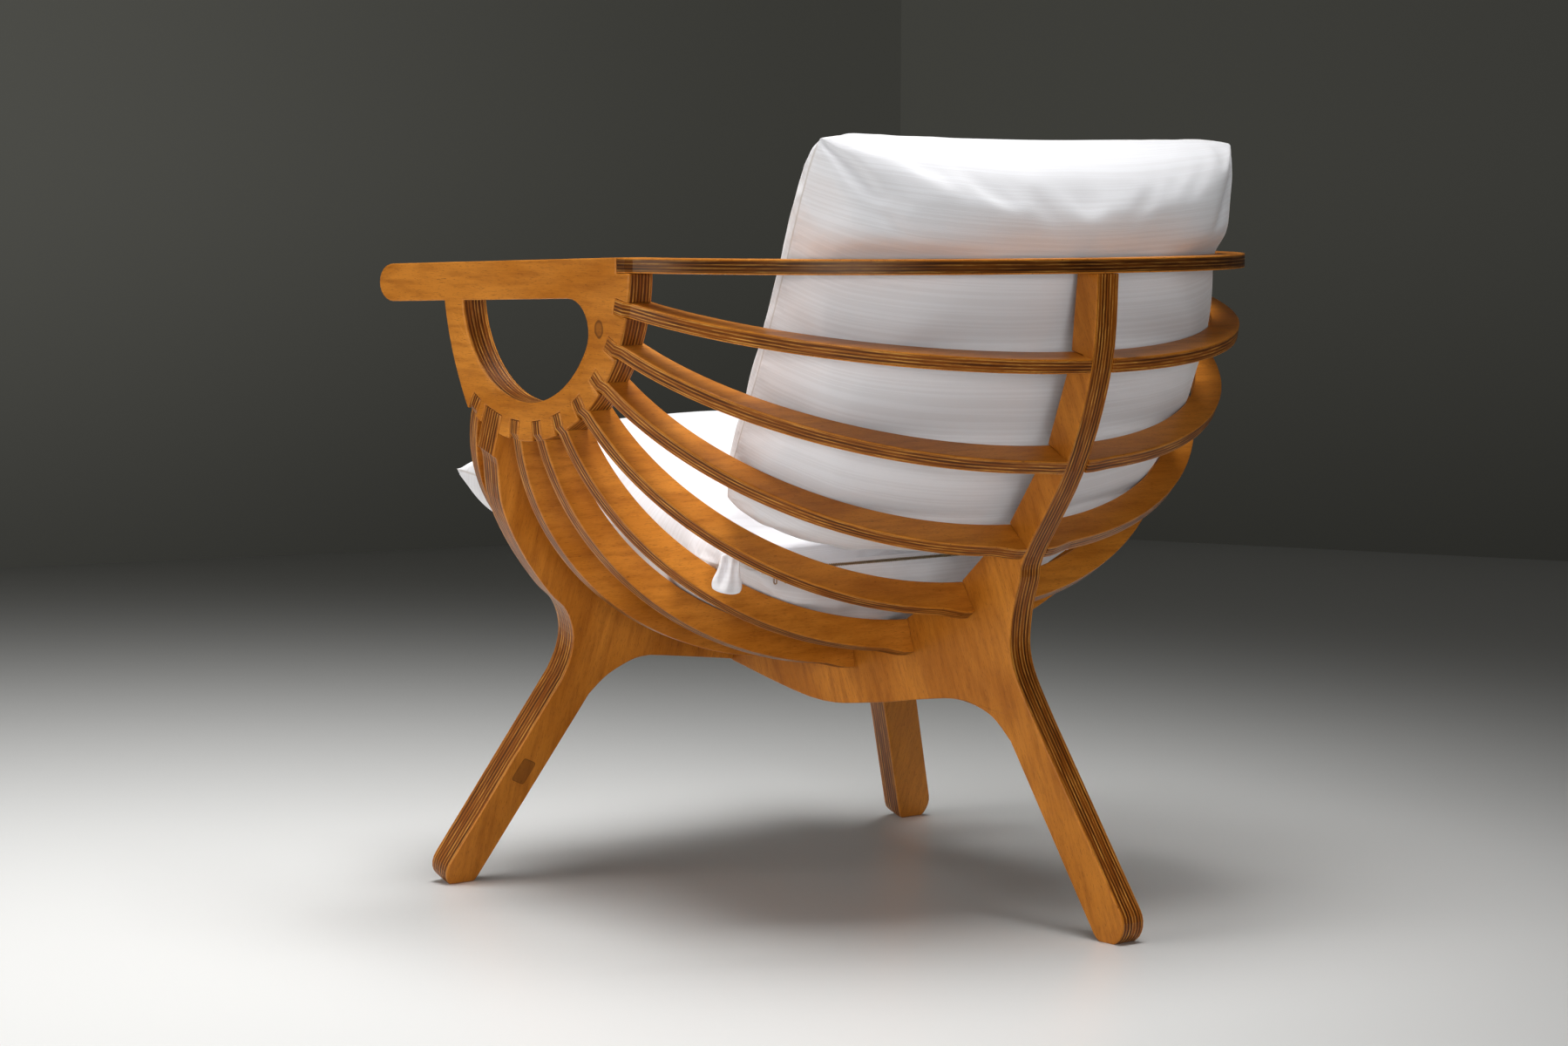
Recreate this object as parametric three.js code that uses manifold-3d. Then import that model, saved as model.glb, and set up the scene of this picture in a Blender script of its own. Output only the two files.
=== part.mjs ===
// A three-legged lounge chair of bent-looking, but really sawn, plywood: flat hoops fan out
// round one level axis between two arm frames, and a spine laps into every hoop at the middle.
// Millimetres, +Z up, +Y to the rear, +X to the sitter's left. The floor is z = 0.
import * as THREE from "three";
import { mergeVertices } from "three/addons/utils/BufferGeometryUtils.js";
import Module from "manifold-3d";

const wasm = await Module();
wasm.setup();

// Plywood
const ribPly = 15; // sheet that the hoops and the top rail are sawn from
const framePly = 30; // doubled sheet of the arm frames, the spine and the front frame
const clearance = 0.3; // between a piece and the slot that it seats in
const overrun = 60; // how far a cutter runs past what it cuts

// Overall
const overallWidth = 808;
const axisHeight = 667; // the axis that every hoop's plane passes through
const halfWidth = overallWidth / 2;

// Hoops. Each is half an ellipse, given by how far it reaches from the axis.
const hoopCentre = 128; // radius at which the half ellipses start
const hoopInner = 398; // reach of the inner edge at the middle
const hoopDepth = 31; // width of a hoop at the middle
const hoopOuter = hoopInner + hoopDepth;
const hoopSideDepth = 30; // width of a hoop's side, seen square to its plane
const shoulderReach = 210; // where the outer edge leaves the ellipse for the arm's face
const lapSwell = 5; // extra width round the spine's lap, on most of the hoops
const lapSwellHalf = 21; // half the length of the full swell
const lapSwellEnd = 58; // where the swell has faded out
const hoopSteps = 44; // chords in a half ellipse

const lapSwellShares = [0, 0.5]; // the first ribs swell less, as the spine is slim there

// Fan angles, in degrees below the level rear direction
const ribAngles = [12.6, 27.1, 41.5, 55.3, 69.2, 82.2, 95.5];
const frontFrameAngle = 109.4;
const frontHoopAngle = 121;
const railRise = 6; // the top rail is level, and its mid plane is this far above the axis

// Arm frames
const ringRadius = 174; // outside of the ring that the hoops' ends are let into
const slotDepth = 20; // how far a hoop's end goes into the ring
const armSlope = 1.9; // degrees by which the armrest rises to the rear
const armDepth = 39.4; // height of the armrest's section
const armReach = 255.7; // front of the armrest, ahead of the axis
const armNose = 24; // length of the armrest's rounded end
const openingBack = 7; // the opening's round part is centred this far behind the axis
const openingCentre = 22.5; // and this far below it
const ringWall = 62; // from the opening's round edge to the ring's outside
const openingRadius = ringRadius - ringWall;
const openingFillet = 33;
const openingFrontIn = 9; // how much nearer the opening's front corner is than its round edge
const openingFront = openingRadius - openingFrontIn;
const strutIn = 37.5; // how far the strut's foremost top is inside the ring's radius
const strutFront = ringRadius - strutIn;
const armSteps = 40;

// Front frame and its two splayed legs, in the frame's own plane
const frameDepth = 66; // width of the frame at the middle
const frameBottom = hoopInner + frameDepth;
const frontLegWidth = 45;
const frontLegSplay = 25.2; // degrees
const frontFootX = 328;
const frontFootReach = 686;

// Spine and rear leg
const spineInner = hoopInner;
const spineDepth = 30; // width of the spine between two hoops
const spineOuter = spineInner + spineDepth;
const spineKeel = 72; // and where it passes under the cushions
const spineBottom = spineInner + spineKeel;
const keelAngle = 2; // degrees by which the spine runs on past the front frame and the hoop
const rearLegWidth = 45;
const rearLegLean = 35; // degrees
const rearFootY = 447;
const footTrim = 2.5; // taken off the round foot by the floor

// Lap joints
const lapDepth = (hoopOuter - hoopInner) / 2;

// Cushions, with their sewn edge in a middle plane. Places are measured from the fan's axis.
const seatFrontHalfWidth = halfWidth * 0.703;
const seatRearHalfWidth = halfWidth * 0.6386;
const seatFront = hoopInner * 0.7513; // front seam, ahead of the axis
const seatRear = hoopInner * 0.392; // rear seam, behind the axis
const seatRearFlatIn = 5; // how far the strip that the zip lies on is pressed in
const seatRearFlat = seatRear - seatRearFlatIn;
const seatFrontDrop = hoopInner * 0.5641; // front seam, below the axis
const seatRearDrop = hoopInner * 0.7663;
const seatCrown = 76; // above the seam plane
const seatBelly = 116; // below it
const backHalfWidth = halfWidth * 0.7327;
const backFootY = hoopInner * 0.4523; // lower seam, behind the axis
const backFootDrop = hoopInner * 0.598;
const backHeadY = hoopInner * 0.8166; // upper end
const backHeadRise = 143;
const backHeadBow = 16; // how far the upper edge dips between its corners
const backCrown = 60; // ahead of the seam plane
const backBelly = 95; // behind it
const backFootBow = 54; // how far the lower edge sags below its corners
const cushionGap = 0.8; // between a cushion and what it rests on
const drawIn = 8; // how far the middles of the sewn edges are drawn in
const cornerCut = 9; // how far the soft corners are rounded in
const spreadStart = 38; // past the front hoop or over the rail, where a cushion may spread
const cushionCells = 22;
const restDrop = hoopInner * 0.7236; // where both cushions meet, below the axis at restY
const restY = hoopInner * 0.4271;

// Zip on the seat cushion's rear side
const zipHalfLength = 218;
const zipTapeHeight = 11;
const zipTapeThickness = 1.2;
const zipRowHeight = 3.2; // the row of closed teeth
const zipRowProud = 1.2;
const sliderLength = 9;
const sliderHeight = 7.5;
const sliderPlate = 1.1; // thickness of the slider over the teeth
const sliderX = [204, 190]; // middles of the two sliders
const bridgeWire = 1;
const bridgeRise = 3.1; // from the slider's face to the middle of the bridge
const pullLength = 16;
const pullWidth = 5;
const pullThickness = 1.1;
const pullRim = 0.9; // width of the pull's metal round its opening

const plyColour = 0xb06a22;
const plyFinish = { color: plyColour, roughness: 0.42, metalness: 0 };
const fabricFinish = { color: 0xe9e7e4, roughness: 0.92, metalness: 0 };
const brassFinish = { color: 0xa8966f, roughness: 0.35, metalness: 1 };

const radians = THREE.MathUtils.degToRad;
const smoothstep = THREE.MathUtils.smoothstep;
const chair = new THREE.Group();

// Solids

function toSolid(geometry) {
  const bare = geometry.index ? geometry.toNonIndexed() : geometry.clone();
  bare.deleteAttribute("normal");
  bare.deleteAttribute("uv");
  const merged = mergeVertices(bare);
  return new wasm.Manifold(
    new wasm.Mesh({
      numProp: 3,
      vertProperties: merged.attributes.position.array,
      triVerts: new Uint32Array(merged.index.array),
    }),
  );
}

function toGeometry(solid) {
  const mesh = solid.getMesh();
  const geometry = new THREE.BufferGeometry();
  const position = new THREE.BufferAttribute(mesh.vertProperties, 3);
  geometry.setAttribute("position", position);
  geometry.setIndex(new THREE.BufferAttribute(mesh.triVerts, 1));
  geometry.computeVertexNormals();
  return geometry;
}

function addPiece(name, solid, finish, group = chair) {
  const mesh = new THREE.Mesh(toGeometry(solid), new THREE.MeshStandardMaterial(finish));
  mesh.name = name;
  group.add(mesh);
  return mesh;
}

// A sheet sawn to an outline, centred on its own plane.
function sawn(outline, thickness) {
  const sheet = new THREE.ExtrudeGeometry(outline, {
    depth: thickness,
    bevelEnabled: false,
    curveSegments: 10,
  });
  return sheet.translate(0, 0, -thickness / 2);
}

function block(width, depth, height, x, y, z) {
  return new THREE.BoxGeometry(width, depth, height).translate(x, y, z);
}

// Turns a sheet drawn in X and reach into the hoop plane that lies at an angle below the rear.
function toHoopPlane(geometry, degrees) {
  return geometry.rotateX(-radians(degrees));
}

// Turns a sheet drawn in Y and Z upright, with its thickness along X.
function toSidePlane(geometry, x = 0) {
  const upright = new THREE.Matrix4().makeBasis(
    new THREE.Vector3(0, 1, 0),
    new THREE.Vector3(0, 0, 1),
    new THREE.Vector3(1, 0, 0),
  );
  return geometry.applyMatrix4(upright).translate(x, 0, 0);
}

const raised = (geometry) => toSolid(geometry.translate(0, 0, axisHeight));

// Everything under the floor, as a cutter in the frame whose origin is the fan's axis
function floorCutter() {
  const size = overallWidth * 2;
  return toSolid(block(size, size, size, 0, 0, -axisHeight - size / 2));
}

// Hoop outlines, drawn in X and reach

function ellipseX(reach, width, depth) {
  const share = (reach - hoopCentre) / depth;
  return width * Math.sqrt(1 - share * share);
}

function ellipseReach(x, width, depth) {
  const share = Math.min(1, Math.abs(x) / width);
  return hoopCentre + depth * Math.sqrt(1 - share * share);
}

const outerDepth = hoopOuter - hoopCentre;
const innerDepth = hoopInner - hoopCentre;
const innerHalfWidth = halfWidth - hoopSideDepth;
const slotFloor = ringRadius - slotDepth;

// Points of the outer edge from the +X end to the -X end.
function outerEdge(swell) {
  const start = Math.asin((shoulderReach - hoopCentre) / outerDepth);
  const points = [new THREE.Vector2(halfWidth, slotFloor)];
  const shoulder = new THREE.QuadraticBezierCurve(
    new THREE.Vector2(halfWidth, ringRadius),
    new THREE.Vector2(halfWidth, (ringRadius + shoulderReach) / 2),
    new THREE.Vector2(halfWidth * Math.cos(start), shoulderReach),
  );
  points.push(...shoulder.getPoints(hoopSteps / 8));
  for (let i = 1; i < hoopSteps; i++) {
    const angle = start + ((Math.PI - 2 * start) * i) / hoopSteps;
    const x = halfWidth * Math.cos(angle);
    const away = smoothstep(Math.abs(x), lapSwellHalf, lapSwellEnd);
    const reach = hoopCentre + outerDepth * Math.sin(angle) + swell * (1 - away);
    points.push(new THREE.Vector2(x, reach));
  }
  points.push(...shoulder.getPoints(hoopSteps / 8).reverse().map(mirrored));
  points.push(new THREE.Vector2(-halfWidth, slotFloor));
  return points;
}

function mirrored(point) {
  return new THREE.Vector2(-point.x, point.y);
}

// Points of the inner edge from the -X end to the +X end.
function innerEdge() {
  const start = Math.asin((slotFloor - hoopCentre) / innerDepth);
  const points = [];
  for (let i = 0; i <= hoopSteps; i++) {
    const angle = Math.PI - start - ((Math.PI - 2 * start) * i) / hoopSteps;
    const reach = hoopCentre + innerDepth * Math.sin(angle);
    points.push(new THREE.Vector2(innerHalfWidth * Math.cos(angle), reach));
  }
  return points;
}

// A hoop, with the notch that the spine's lap leaves in its outer half.
function hoop(swell) {
  const outline = new THREE.Shape([...outerEdge(swell), ...innerEdge()]);
  const notchTop = hoopInner + lapDepth - clearance;
  const height = overrun + lapDepth;
  const notch = block(
    framePly + 2 * clearance,
    height,
    ribPly * 2,
    0,
    notchTop + height / 2,
    0,
  );
  return toSolid(sawn(outline, ribPly)).subtract(toSolid(notch));
}

function inHoopPlane(solid, degrees) {
  return raised(toHoopPlane(toGeometry(solid), degrees));
}

// Top rail. The spine's tongue comes up through a notch in its inner half.

function topRail() {
  const outline = new THREE.Shape([...outerEdge(0), ...innerEdge()]);
  const notchHeight = overrun + lapDepth;
  const notchEnd = hoopInner + lapDepth + clearance;
  const notch = block(
    framePly + 2 * clearance,
    notchHeight,
    ribPly * 2,
    0,
    notchEnd - notchHeight / 2,
    0,
  );
  const rail = toSolid(sawn(outline, ribPly)).subtract(toSolid(notch));
  return raised(toGeometry(rail).translate(0, 0, railRise));
}

// Front frame with its legs, drawn in X and reach. The outline's shares are of the half width
// for X, and of the reach between the hoops' inner edge and the axis for the other one.

const frameSideShares = [
  [0.980, 0.520],
  [0.935, 0.647],
  [0.840, 0.783],
  [0.727, 0.903],
  [0.657, 0.961],
  [0.615, 1.035],
  [0.607, 1.106],
  [0.620, 1.168],
];
const frameCrotchShares = [
  [0.518, 1.223],
  [0.470, 1.171],
  [0.402, 1.134],
  [0.355, 1.124],
  [0.292, 1.128],
];

function sharePoints(shares) {
  return shares.map(([x, reach]) => new THREE.Vector2(x * halfWidth, reach * hoopInner));
}

// The round end of a leg, from its outer side to its inner side. Down is the way it points.
function footArc(centre, width, down, turn) {
  const points = [];
  const side = new THREE.Vector2(-down.y, down.x).multiplyScalar(turn);
  const steps = 12;
  for (let i = 0; i <= steps; i++) {
    const angle = (Math.PI * i) / steps;
    const out = side.clone().multiplyScalar((Math.cos(angle) * width) / 2);
    const along = down.clone().multiplyScalar((Math.sin(angle) * width) / 2);
    points.push(centre.clone().add(out).add(along));
  }
  return points;
}

function frontFrame() {
  const splay = radians(frontLegSplay);
  const down = new THREE.Vector2(Math.sin(splay), Math.cos(splay));
  const foot = footArc(
    new THREE.Vector2(frontFootX, frontFootReach),
    frontLegWidth,
    down,
    -1,
  );
  const side = new THREE.SplineCurve([
    new THREE.Vector2(halfWidth, hoopInner / 2),
    ...sharePoints(frameSideShares),
  ]);
  const crotch = new THREE.SplineCurve([
    ...sharePoints(frameCrotchShares),
    new THREE.Vector2(0, frameBottom),
  ]);
  const half = [
    new THREE.Vector2(halfWidth, slotFloor),
    ...side.getPoints(30),
    ...foot,
    ...crotch.getPoints(24),
  ];
  const other = half.slice(0, -1).reverse().map(mirrored);
  const outline = new THREE.Shape([...half, ...other, ...innerEdge()]);
  const notchTop = hoopInner + (frameBottom - hoopInner) / 2 - clearance;
  const notchHeight = overrun + frameBottom - notchTop;
  const notch = block(
    framePly + 2 * clearance,
    notchHeight,
    framePly * 2,
    0,
    notchTop + notchHeight / 2,
    0,
  );
  const flat = toSolid(sawn(outline, framePly)).subtract(toSolid(notch));
  const tilted = toSolid(toHoopPlane(toGeometry(flat), frontFrameAngle));
  return raised(toGeometry(tilted.subtract(floorCutter())));
}

// Slot cutter for a sheet that lies in a hoop plane: from one reach to another, across X.
function slotCutter(degrees, thickness, from, to, width, x = 0) {
  const size = to - from;
  const cutter = block(width, size, thickness + 2 * clearance, x, from + size / 2, 0);
  return toSolid(toHoopPlane(cutter, degrees));
}

// Arm frame, drawn in Y and Z. The strut's bow is given in shares of the ring's radius.

const strutBowShares = [-0.74, -0.5];

function armLine(y, drop) {
  const slope = Math.tan(radians(armSlope));
  return new THREE.Vector2(y, railRise + ribPly / 2 + (y - slotFloor) * slope - drop);
}

function armOutline() {
  const outline = new THREE.Shape();
  const noseTop = armLine(-armReach + armNose, 0);
  const noseBottom = armLine(-armReach + armNose, armDepth);
  const strutTop = armLine(-strutFront, armDepth);
  const ringTop = armLine(ringRadius, 0);
  const lastSlot = radians(frontHoopAngle) + ribPly / ringRadius / 2;
  outline.moveTo(noseTop.x, noseTop.y);
  outline.lineTo(ringTop.x, ringTop.y);
  outline.lineTo(ringRadius, 0);
  for (let i = 1; i <= armSteps; i++) {
    const angle = (-lastSlot * i) / armSteps;
    outline.lineTo(ringRadius * Math.cos(angle), ringRadius * Math.sin(angle));
  }
  const strutFoot = outline.currentPoint.clone();
  const [bowY, bowZ] = strutBowShares;
  const strut = new THREE.QuadraticBezierCurve(
    strutFoot,
    new THREE.Vector2(bowY * ringRadius, bowZ * ringRadius),
    strutTop,
  );
  strut.getPoints(12).slice(1).forEach((p) => outline.lineTo(p.x, p.y));
  outline.lineTo(noseBottom.x, noseBottom.y);
  const middle = noseTop.clone().add(noseBottom).divideScalar(2);
  for (let i = 1; i < 12; i++) {
    const angle = -Math.PI / 2 - (Math.PI * i) / 12;
    const y = middle.x + armNose * Math.cos(angle);
    outline.lineTo(y, middle.y + (armDepth / 2) * Math.sin(angle));
  }
  outline.holes.push(armOpening());
  return outline;
}

// The opening under the armrest: a circle under a straight edge, with one corner rounded.
function armOpening() {
  const slope = radians(armSlope);
  const front = armLine(-openingFront, armDepth);
  const centre = new THREE.Vector2(openingBack, -openingCentre);
  const edgeAt = (y) => armLine(y, armDepth).y;
  const inner = openingRadius - openingFillet;
  // The fillet's centre lies under the straight edge and inside the circle.
  let filletY = inner;
  for (let i = 0; i < armSteps; i++) {
    const z = edgeAt(filletY) - openingFillet;
    filletY = centre.x + Math.sqrt(inner * inner - (z - centre.y) ** 2);
  }
  const fillet = new THREE.Vector2(filletY, edgeAt(filletY) - openingFillet);
  const join = Math.atan2(fillet.y - centre.y, fillet.x - centre.x);
  const start = Math.atan2(front.y - centre.y, front.x - centre.x);
  const hole = new THREE.Path();
  hole.moveTo(front.x, front.y);
  const sweep = join - start + 2 * Math.PI;
  for (let i = 0; i <= armSteps; i++) {
    const angle = start + ((sweep % (2 * Math.PI)) * i) / armSteps;
    const y = centre.x + openingRadius * Math.cos(angle);
    hole.lineTo(y, centre.y + openingRadius * Math.sin(angle));
  }
  for (let i = 1; i <= 10; i++) {
    const angle = join + ((Math.PI / 2 + slope - join) * i) / 10;
    const y = fillet.x + openingFillet * Math.cos(angle);
    hole.lineTo(y, fillet.y + openingFillet * Math.sin(angle));
  }
  hole.closePath();
  return hole;
}

function armFrame(side) {
  const x = side * (halfWidth - framePly / 2);
  let solid = toSolid(toSidePlane(sawn(armOutline(), framePly), x));
  const width = framePly + overrun;
  const reachFrom = slotFloor - clearance;
  const slots = [
    ...ribAngles.map((angle) => [angle, ribPly]),
    [frontFrameAngle, framePly],
    [frontHoopAngle, ribPly],
  ];
  for (const [angle, thickness] of slots) {
    const to = ringRadius + overrun;
    solid = solid.subtract(slotCutter(angle, thickness, reachFrom, to, width, x));
  }
  const railNotch = block(
    width,
    overrun + slotDepth,
    overrun,
    x,
    reachFrom + (overrun + slotDepth) / 2,
    railRise - ribPly / 2 - clearance + overrun / 2,
  );
  return raised(toGeometry(solid.subtract(toSolid(railNotch))));
}

// Spine, drawn in Y and Z. Its inner edge runs straight from hoop to hoop, and the waist's and
// the crotch's shares are of the spine's outer radius.

const rearLegShare = 0.5; // straight length of the leg's rear edge
const rearEdgeShares = [0.993, 1, 1.004, 1.014]; // reach at the rail and at the next three hoops
const waistShares = [
  [0.741, -0.735],
  [0.720, -0.807],
  [0.711, -0.879],
  [0.718, -0.930],
  [0.743, -0.984],
];
const crotchShares = [
  [0.717, -1.123],
  [0.644, -1.067],
  [0.536, -1.043],
  [0.411, -1.055],
  [0.219, -1.085],
];

const railAndRibs = [0, ...ribAngles];

function polar(radius, degrees) {
  const angle = radians(degrees);
  return new THREE.Vector2(radius * Math.cos(angle), -radius * Math.sin(angle));
}

function spineOutline() {
  const top = railRise + ribPly / 2;
  const outline = new THREE.Shape();
  outline.moveTo(spineInner, top);
  const rearEdge = rearEdgeShares.map((share, i) => polar(spineOuter * share, railAndRibs[i]));
  outline.lineTo(rearEdge[0].x, top);
  const lean = radians(rearLegLean);
  const down = new THREE.Vector2(Math.sin(lean), -Math.cos(lean));
  const centre = new THREE.Vector2(rearFootY, -axisHeight + rearLegWidth / 2 - footTrim);
  const foot = footArc(centre, rearLegWidth, down, 1);
  const legTop = foot[0].clone().addScaledVector(down, -spineOuter * rearLegShare);
  const scaled = ([y, z]) => new THREE.Vector2(y * spineOuter, z * spineOuter);
  const waist = new THREE.SplineCurve([
    ...rearEdge,
    ...waistShares.map(scaled),
    legTop,
  ]);
  const toPoint = (p) => outline.lineTo(p.x, p.y);
  waist.getPoints(44).forEach(toPoint);
  foot.forEach(toPoint);
  const noseBack = polar(frameBottom, frontFrameAngle - keelAngle);
  const crotch = new THREE.SplineCurve([
    ...crotchShares.map(scaled),
    new THREE.Vector2(0, -spineBottom),
    noseBack,
  ]);
  crotch.getPoints(32).forEach(toPoint);
  toPoint(polar(frameBottom, frontFrameAngle + keelAngle));
  const noseFront = frontHoopAngle + keelAngle;
  toPoint(polar(hoopOuter + lapSwell, noseFront));
  toPoint(polar(spineInner, noseFront));
  const knots = [frontFrameAngle, ...ribAngles.slice().reverse()];
  knots.forEach((angle) => toPoint(polar(spineInner, angle)));
  return outline;
}

function spine() {
  let solid = toSolid(toSidePlane(sawn(spineOutline(), framePly)));
  const width = framePly + overrun;
  const from = spineInner - overrun;
  const lapEnd = hoopInner + lapDepth + clearance;
  for (const angle of [...ribAngles, frontHoopAngle]) {
    solid = solid.subtract(slotCutter(angle, ribPly, from, lapEnd, width));
  }
  const frameLap = hoopInner + (frameBottom - hoopInner) / 2 + clearance;
  solid = solid.subtract(slotCutter(frontFrameAngle, framePly, from, frameLap, width));
  // Above the rail's underside only the tongue in the rail's notch is left.
  const shoulder = block(
    width,
    overrun + lapDepth,
    overrun,
    0,
    hoopInner + lapDepth + (overrun + lapDepth) / 2,
    railRise - ribPly / 2 - clearance + overrun / 2,
  );
  solid = solid.subtract(toSolid(shoulder)).subtract(floorCutter());
  return raised(toGeometry(solid));
}

// Cushions

const plumpShare = 0.43; // exponent of the rounded edges; half is an ellipse
const lensShare = 0.58; // the same, for the back cushion's rear side where no hoop holds it
const heldEndShare = 0.3; // of the half length: where the hoops' hold begins to end
const freeShare = 0.75; // and where it has ended
const puffShare = 1.1; // the middle is filled out by this much and then levelled
const sagShare = 1.2; // how fast a cushion spreads where nothing holds it
const spineReachShare = 0.985; // the straight inner edge of the spine, between two hoops

// How far from the axis a cushion may reach inside the fan, at a place across the chair
function shellLimit(x) {
  const reach = ellipseReach(x, innerHalfWidth, innerDepth);
  const overSpine = Math.abs(x) < framePly + ribPly ? spineInner * spineReachShare : reach;
  return Math.min(reach, overSpine) - cushionGap;
}

// Keeps a point inside the hoops. Past the front hoop and over the rail it may spread.
function heldByShell(point) {
  const reach = Math.hypot(point.y, point.z);
  const angle = Math.atan2(-point.z, point.y);
  const pastHoop = reach * (angle - radians(frontHoopAngle)) - spreadStart;
  const overRail = point.z - railRise - spreadStart;
  const free = Math.max(0, pastHoop, overRail);
  const limit = shellLimit(point.x) + free * sagShare;
  if (reach > limit) {
    point.y *= limit / reach;
    point.z *= limit / reach;
  }
  return point;
}

// A pillow between a crowned upper skin and a lower one, joined along a sewn edge. size gives
// its half widths at the front and the rear, its half length and its two heights; place puts a
// point of it in the chair.
function pillow(size, place) {
  const n = cushionCells;
  const along = (i) => Math.sin((Math.PI / 2) * ((2 * i) / n - 1));
  const positions = [];
  const addVertex = (u, v, height) => {
    const halfWidthHere = THREE.MathUtils.lerp(size.front, size.rear, (v + 1) / 2);
    const corner = cornerCut * (u * u * v * v) ** 3;
    const sideIn = drawIn * (1 - v * v) + corner;
    const endIn = (v < 0 ? size.footDrawIn : size.headDrawIn) * (1 - u * u) + corner;
    const free = height < 0 ? size.freeing * smoothstep(v, heldEndShare, freeShare) : 0;
    const sideShare = THREE.MathUtils.lerp(plumpShare, lensShare, free);
    const full = (1 - u * u) ** sideShare * (1 - v * v) ** plumpShare;
    const x = u * (halfWidthHere - sideIn);
    const y = v * (size.halfLength - endIn);
    const point = place(x, y, height * Math.min(1, full * puffShare));
    positions.push(point.x, point.y, point.z);
    return positions.length / 3 - 1;
  };
  const skins = [];
  for (const height of [size.crown, -size.belly]) {
    const skin = [];
    for (let j = 0; j <= n; j++) {
      const row = [];
      for (let i = 0; i <= n; i++) {
        const sewn = i === 0 || j === 0 || i === n || j === n;
        const shared = sewn && skins.length ? skins[0][j][i] : -1;
        row.push(shared < 0 ? addVertex(along(i), along(j), height) : shared);
      }
      skin.push(row);
    }
    skins.push(skin);
  }
  const faces = [];
  const quad = (a, b, c, d) => faces.push(a, b, c, a, c, d);
  const [top, under] = skins;
  for (let j = 0; j < n; j++) {
    for (let i = 0; i < n; i++) {
      quad(top[j][i], top[j][i + 1], top[j + 1][i + 1], top[j + 1][i]);
      quad(under[j][i], under[j + 1][i], under[j + 1][i + 1], under[j][i + 1]);
    }
  }
  const geometry = new THREE.BufferGeometry();
  geometry.setAttribute("position", new THREE.Float32BufferAttribute(positions, 3));
  geometry.setIndex(faces);
  return geometry;
}

const across = new THREE.Vector3(1, 0, 0);
const seatSlope = Math.atan2(seatRearDrop - seatFrontDrop, seatRear + seatFront);
const backLean = Math.atan2(backHeadY - backFootY, backHeadRise + backFootDrop);

// Height of the plane in which the back cushion stands on the seat cushion
function restHeight(y) {
  return -restDrop - (y - restY) * Math.tan(seatSlope);
}

// The seat cushion gives way under the back cushion, which stands on its rear part.
function seatCushion() {
  const middle = new THREE.Vector3(
    0,
    (seatRear - seatFront) / 2,
    -(seatRearDrop + seatFrontDrop) / 2,
  );
  const frontFoot = restY - (backCrown + cushionGap) / Math.cos(backLean);
  const place = (x, along, height) => {
    const point = new THREE.Vector3(x, along, height).applyAxisAngle(across, -seatSlope);
    point.add(middle);
    const ahead = Math.max(0, frontFoot - point.y);
    const ceiling = restHeight(point.y) + ahead / Math.tan(backLean) - cushionGap / 2;
    point.z = Math.min(point.z, ceiling);
    point.y = Math.min(point.y, seatRearFlat);
    return heldByShell(point);
  };
  const size = {
    front: seatFrontHalfWidth,
    rear: seatRearHalfWidth,
    halfLength: Math.hypot(seatRear + seatFront, seatRearDrop - seatFrontDrop) / 2,
    crown: seatCrown,
    belly: seatBelly,
    footDrawIn: drawIn,
    headDrawIn: 0,
    freeing: 0,
  };
  return raised(pillow(size, place));
}

function backCushion() {
  const middle = new THREE.Vector3(
    0,
    (backHeadY + backFootY) / 2,
    (backHeadRise - backFootDrop) / 2,
  );
  const place = (x, along, height) => {
    const point = new THREE.Vector3(x, along, height);
    point.applyAxisAngle(across, Math.PI / 2 - backLean).add(middle);
    point.z = Math.max(point.z, restHeight(point.y) + cushionGap / 2);
    return heldByShell(point);
  };
  const size = {
    front: backHalfWidth,
    rear: backHalfWidth,
    halfLength: Math.hypot(backHeadY - backFootY, backHeadRise + backFootDrop) / 2,
    crown: backCrown,
    belly: backBelly,
    footDrawIn: -backFootBow,
    headDrawIn: backHeadBow,
    freeing: 1,
  };
  return raised(pillow(size, place));
}

// Zip. The tape lies on the flat strip of the seat cushion's rear side, the sliders ride on the
// row of closed teeth, and each pull hangs round its slider's bridge.

const zipHeight = -seatRearDrop;
const tapeFace = seatRearFlat + clearance + zipTapeThickness;
const rowFace = tapeFace + zipRowProud;
const sliderFace = rowFace + clearance + sliderPlate;
const bridgeY = sliderFace + bridgeRise;

function zipTape() {
  const length = zipHalfLength * 2;
  const tape = block(
    length,
    zipTapeThickness,
    zipTapeHeight,
    0,
    tapeFace - zipTapeThickness / 2,
    zipHeight,
  );
  const row = block(
    length,
    zipRowProud * 2,
    zipRowHeight,
    0,
    rowFace - zipRowProud,
    zipHeight,
  );
  return raised(toGeometry(toSolid(tape).add(toSolid(row))));
}

function zipSlider(x) {
  const back = tapeFace + clearance;
  const depth = sliderFace - back;
  const body = toSolid(
    block(sliderLength, depth, sliderHeight, x, back + depth / 2, zipHeight),
  );
  const channel = block(
    sliderLength + overrun,
    rowFace + clearance - back + zipRowProud,
    zipRowHeight + 2 * clearance,
    x,
    (rowFace + clearance + back - zipRowProud) / 2,
    zipHeight,
  );
  const bridgeTop = bridgeY + bridgeWire / 2;
  const foot = sliderFace - sliderPlate / 2;
  const arch = block(
    sliderLength,
    bridgeTop - foot,
    bridgeWire,
    x,
    (bridgeTop + foot) / 2,
    zipHeight,
  );
  const span = sliderLength - 2 * bridgeWire;
  const underBridge = bridgeY - bridgeWire / 2;
  const hollow = block(
    span,
    underBridge - sliderFace,
    sliderHeight,
    x,
    (underBridge + sliderFace) / 2,
    zipHeight,
  );
  const bridge = toSolid(arch).subtract(toSolid(hollow));
  return raised(toGeometry(body.subtract(toSolid(channel)).add(bridge)));
}

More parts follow.
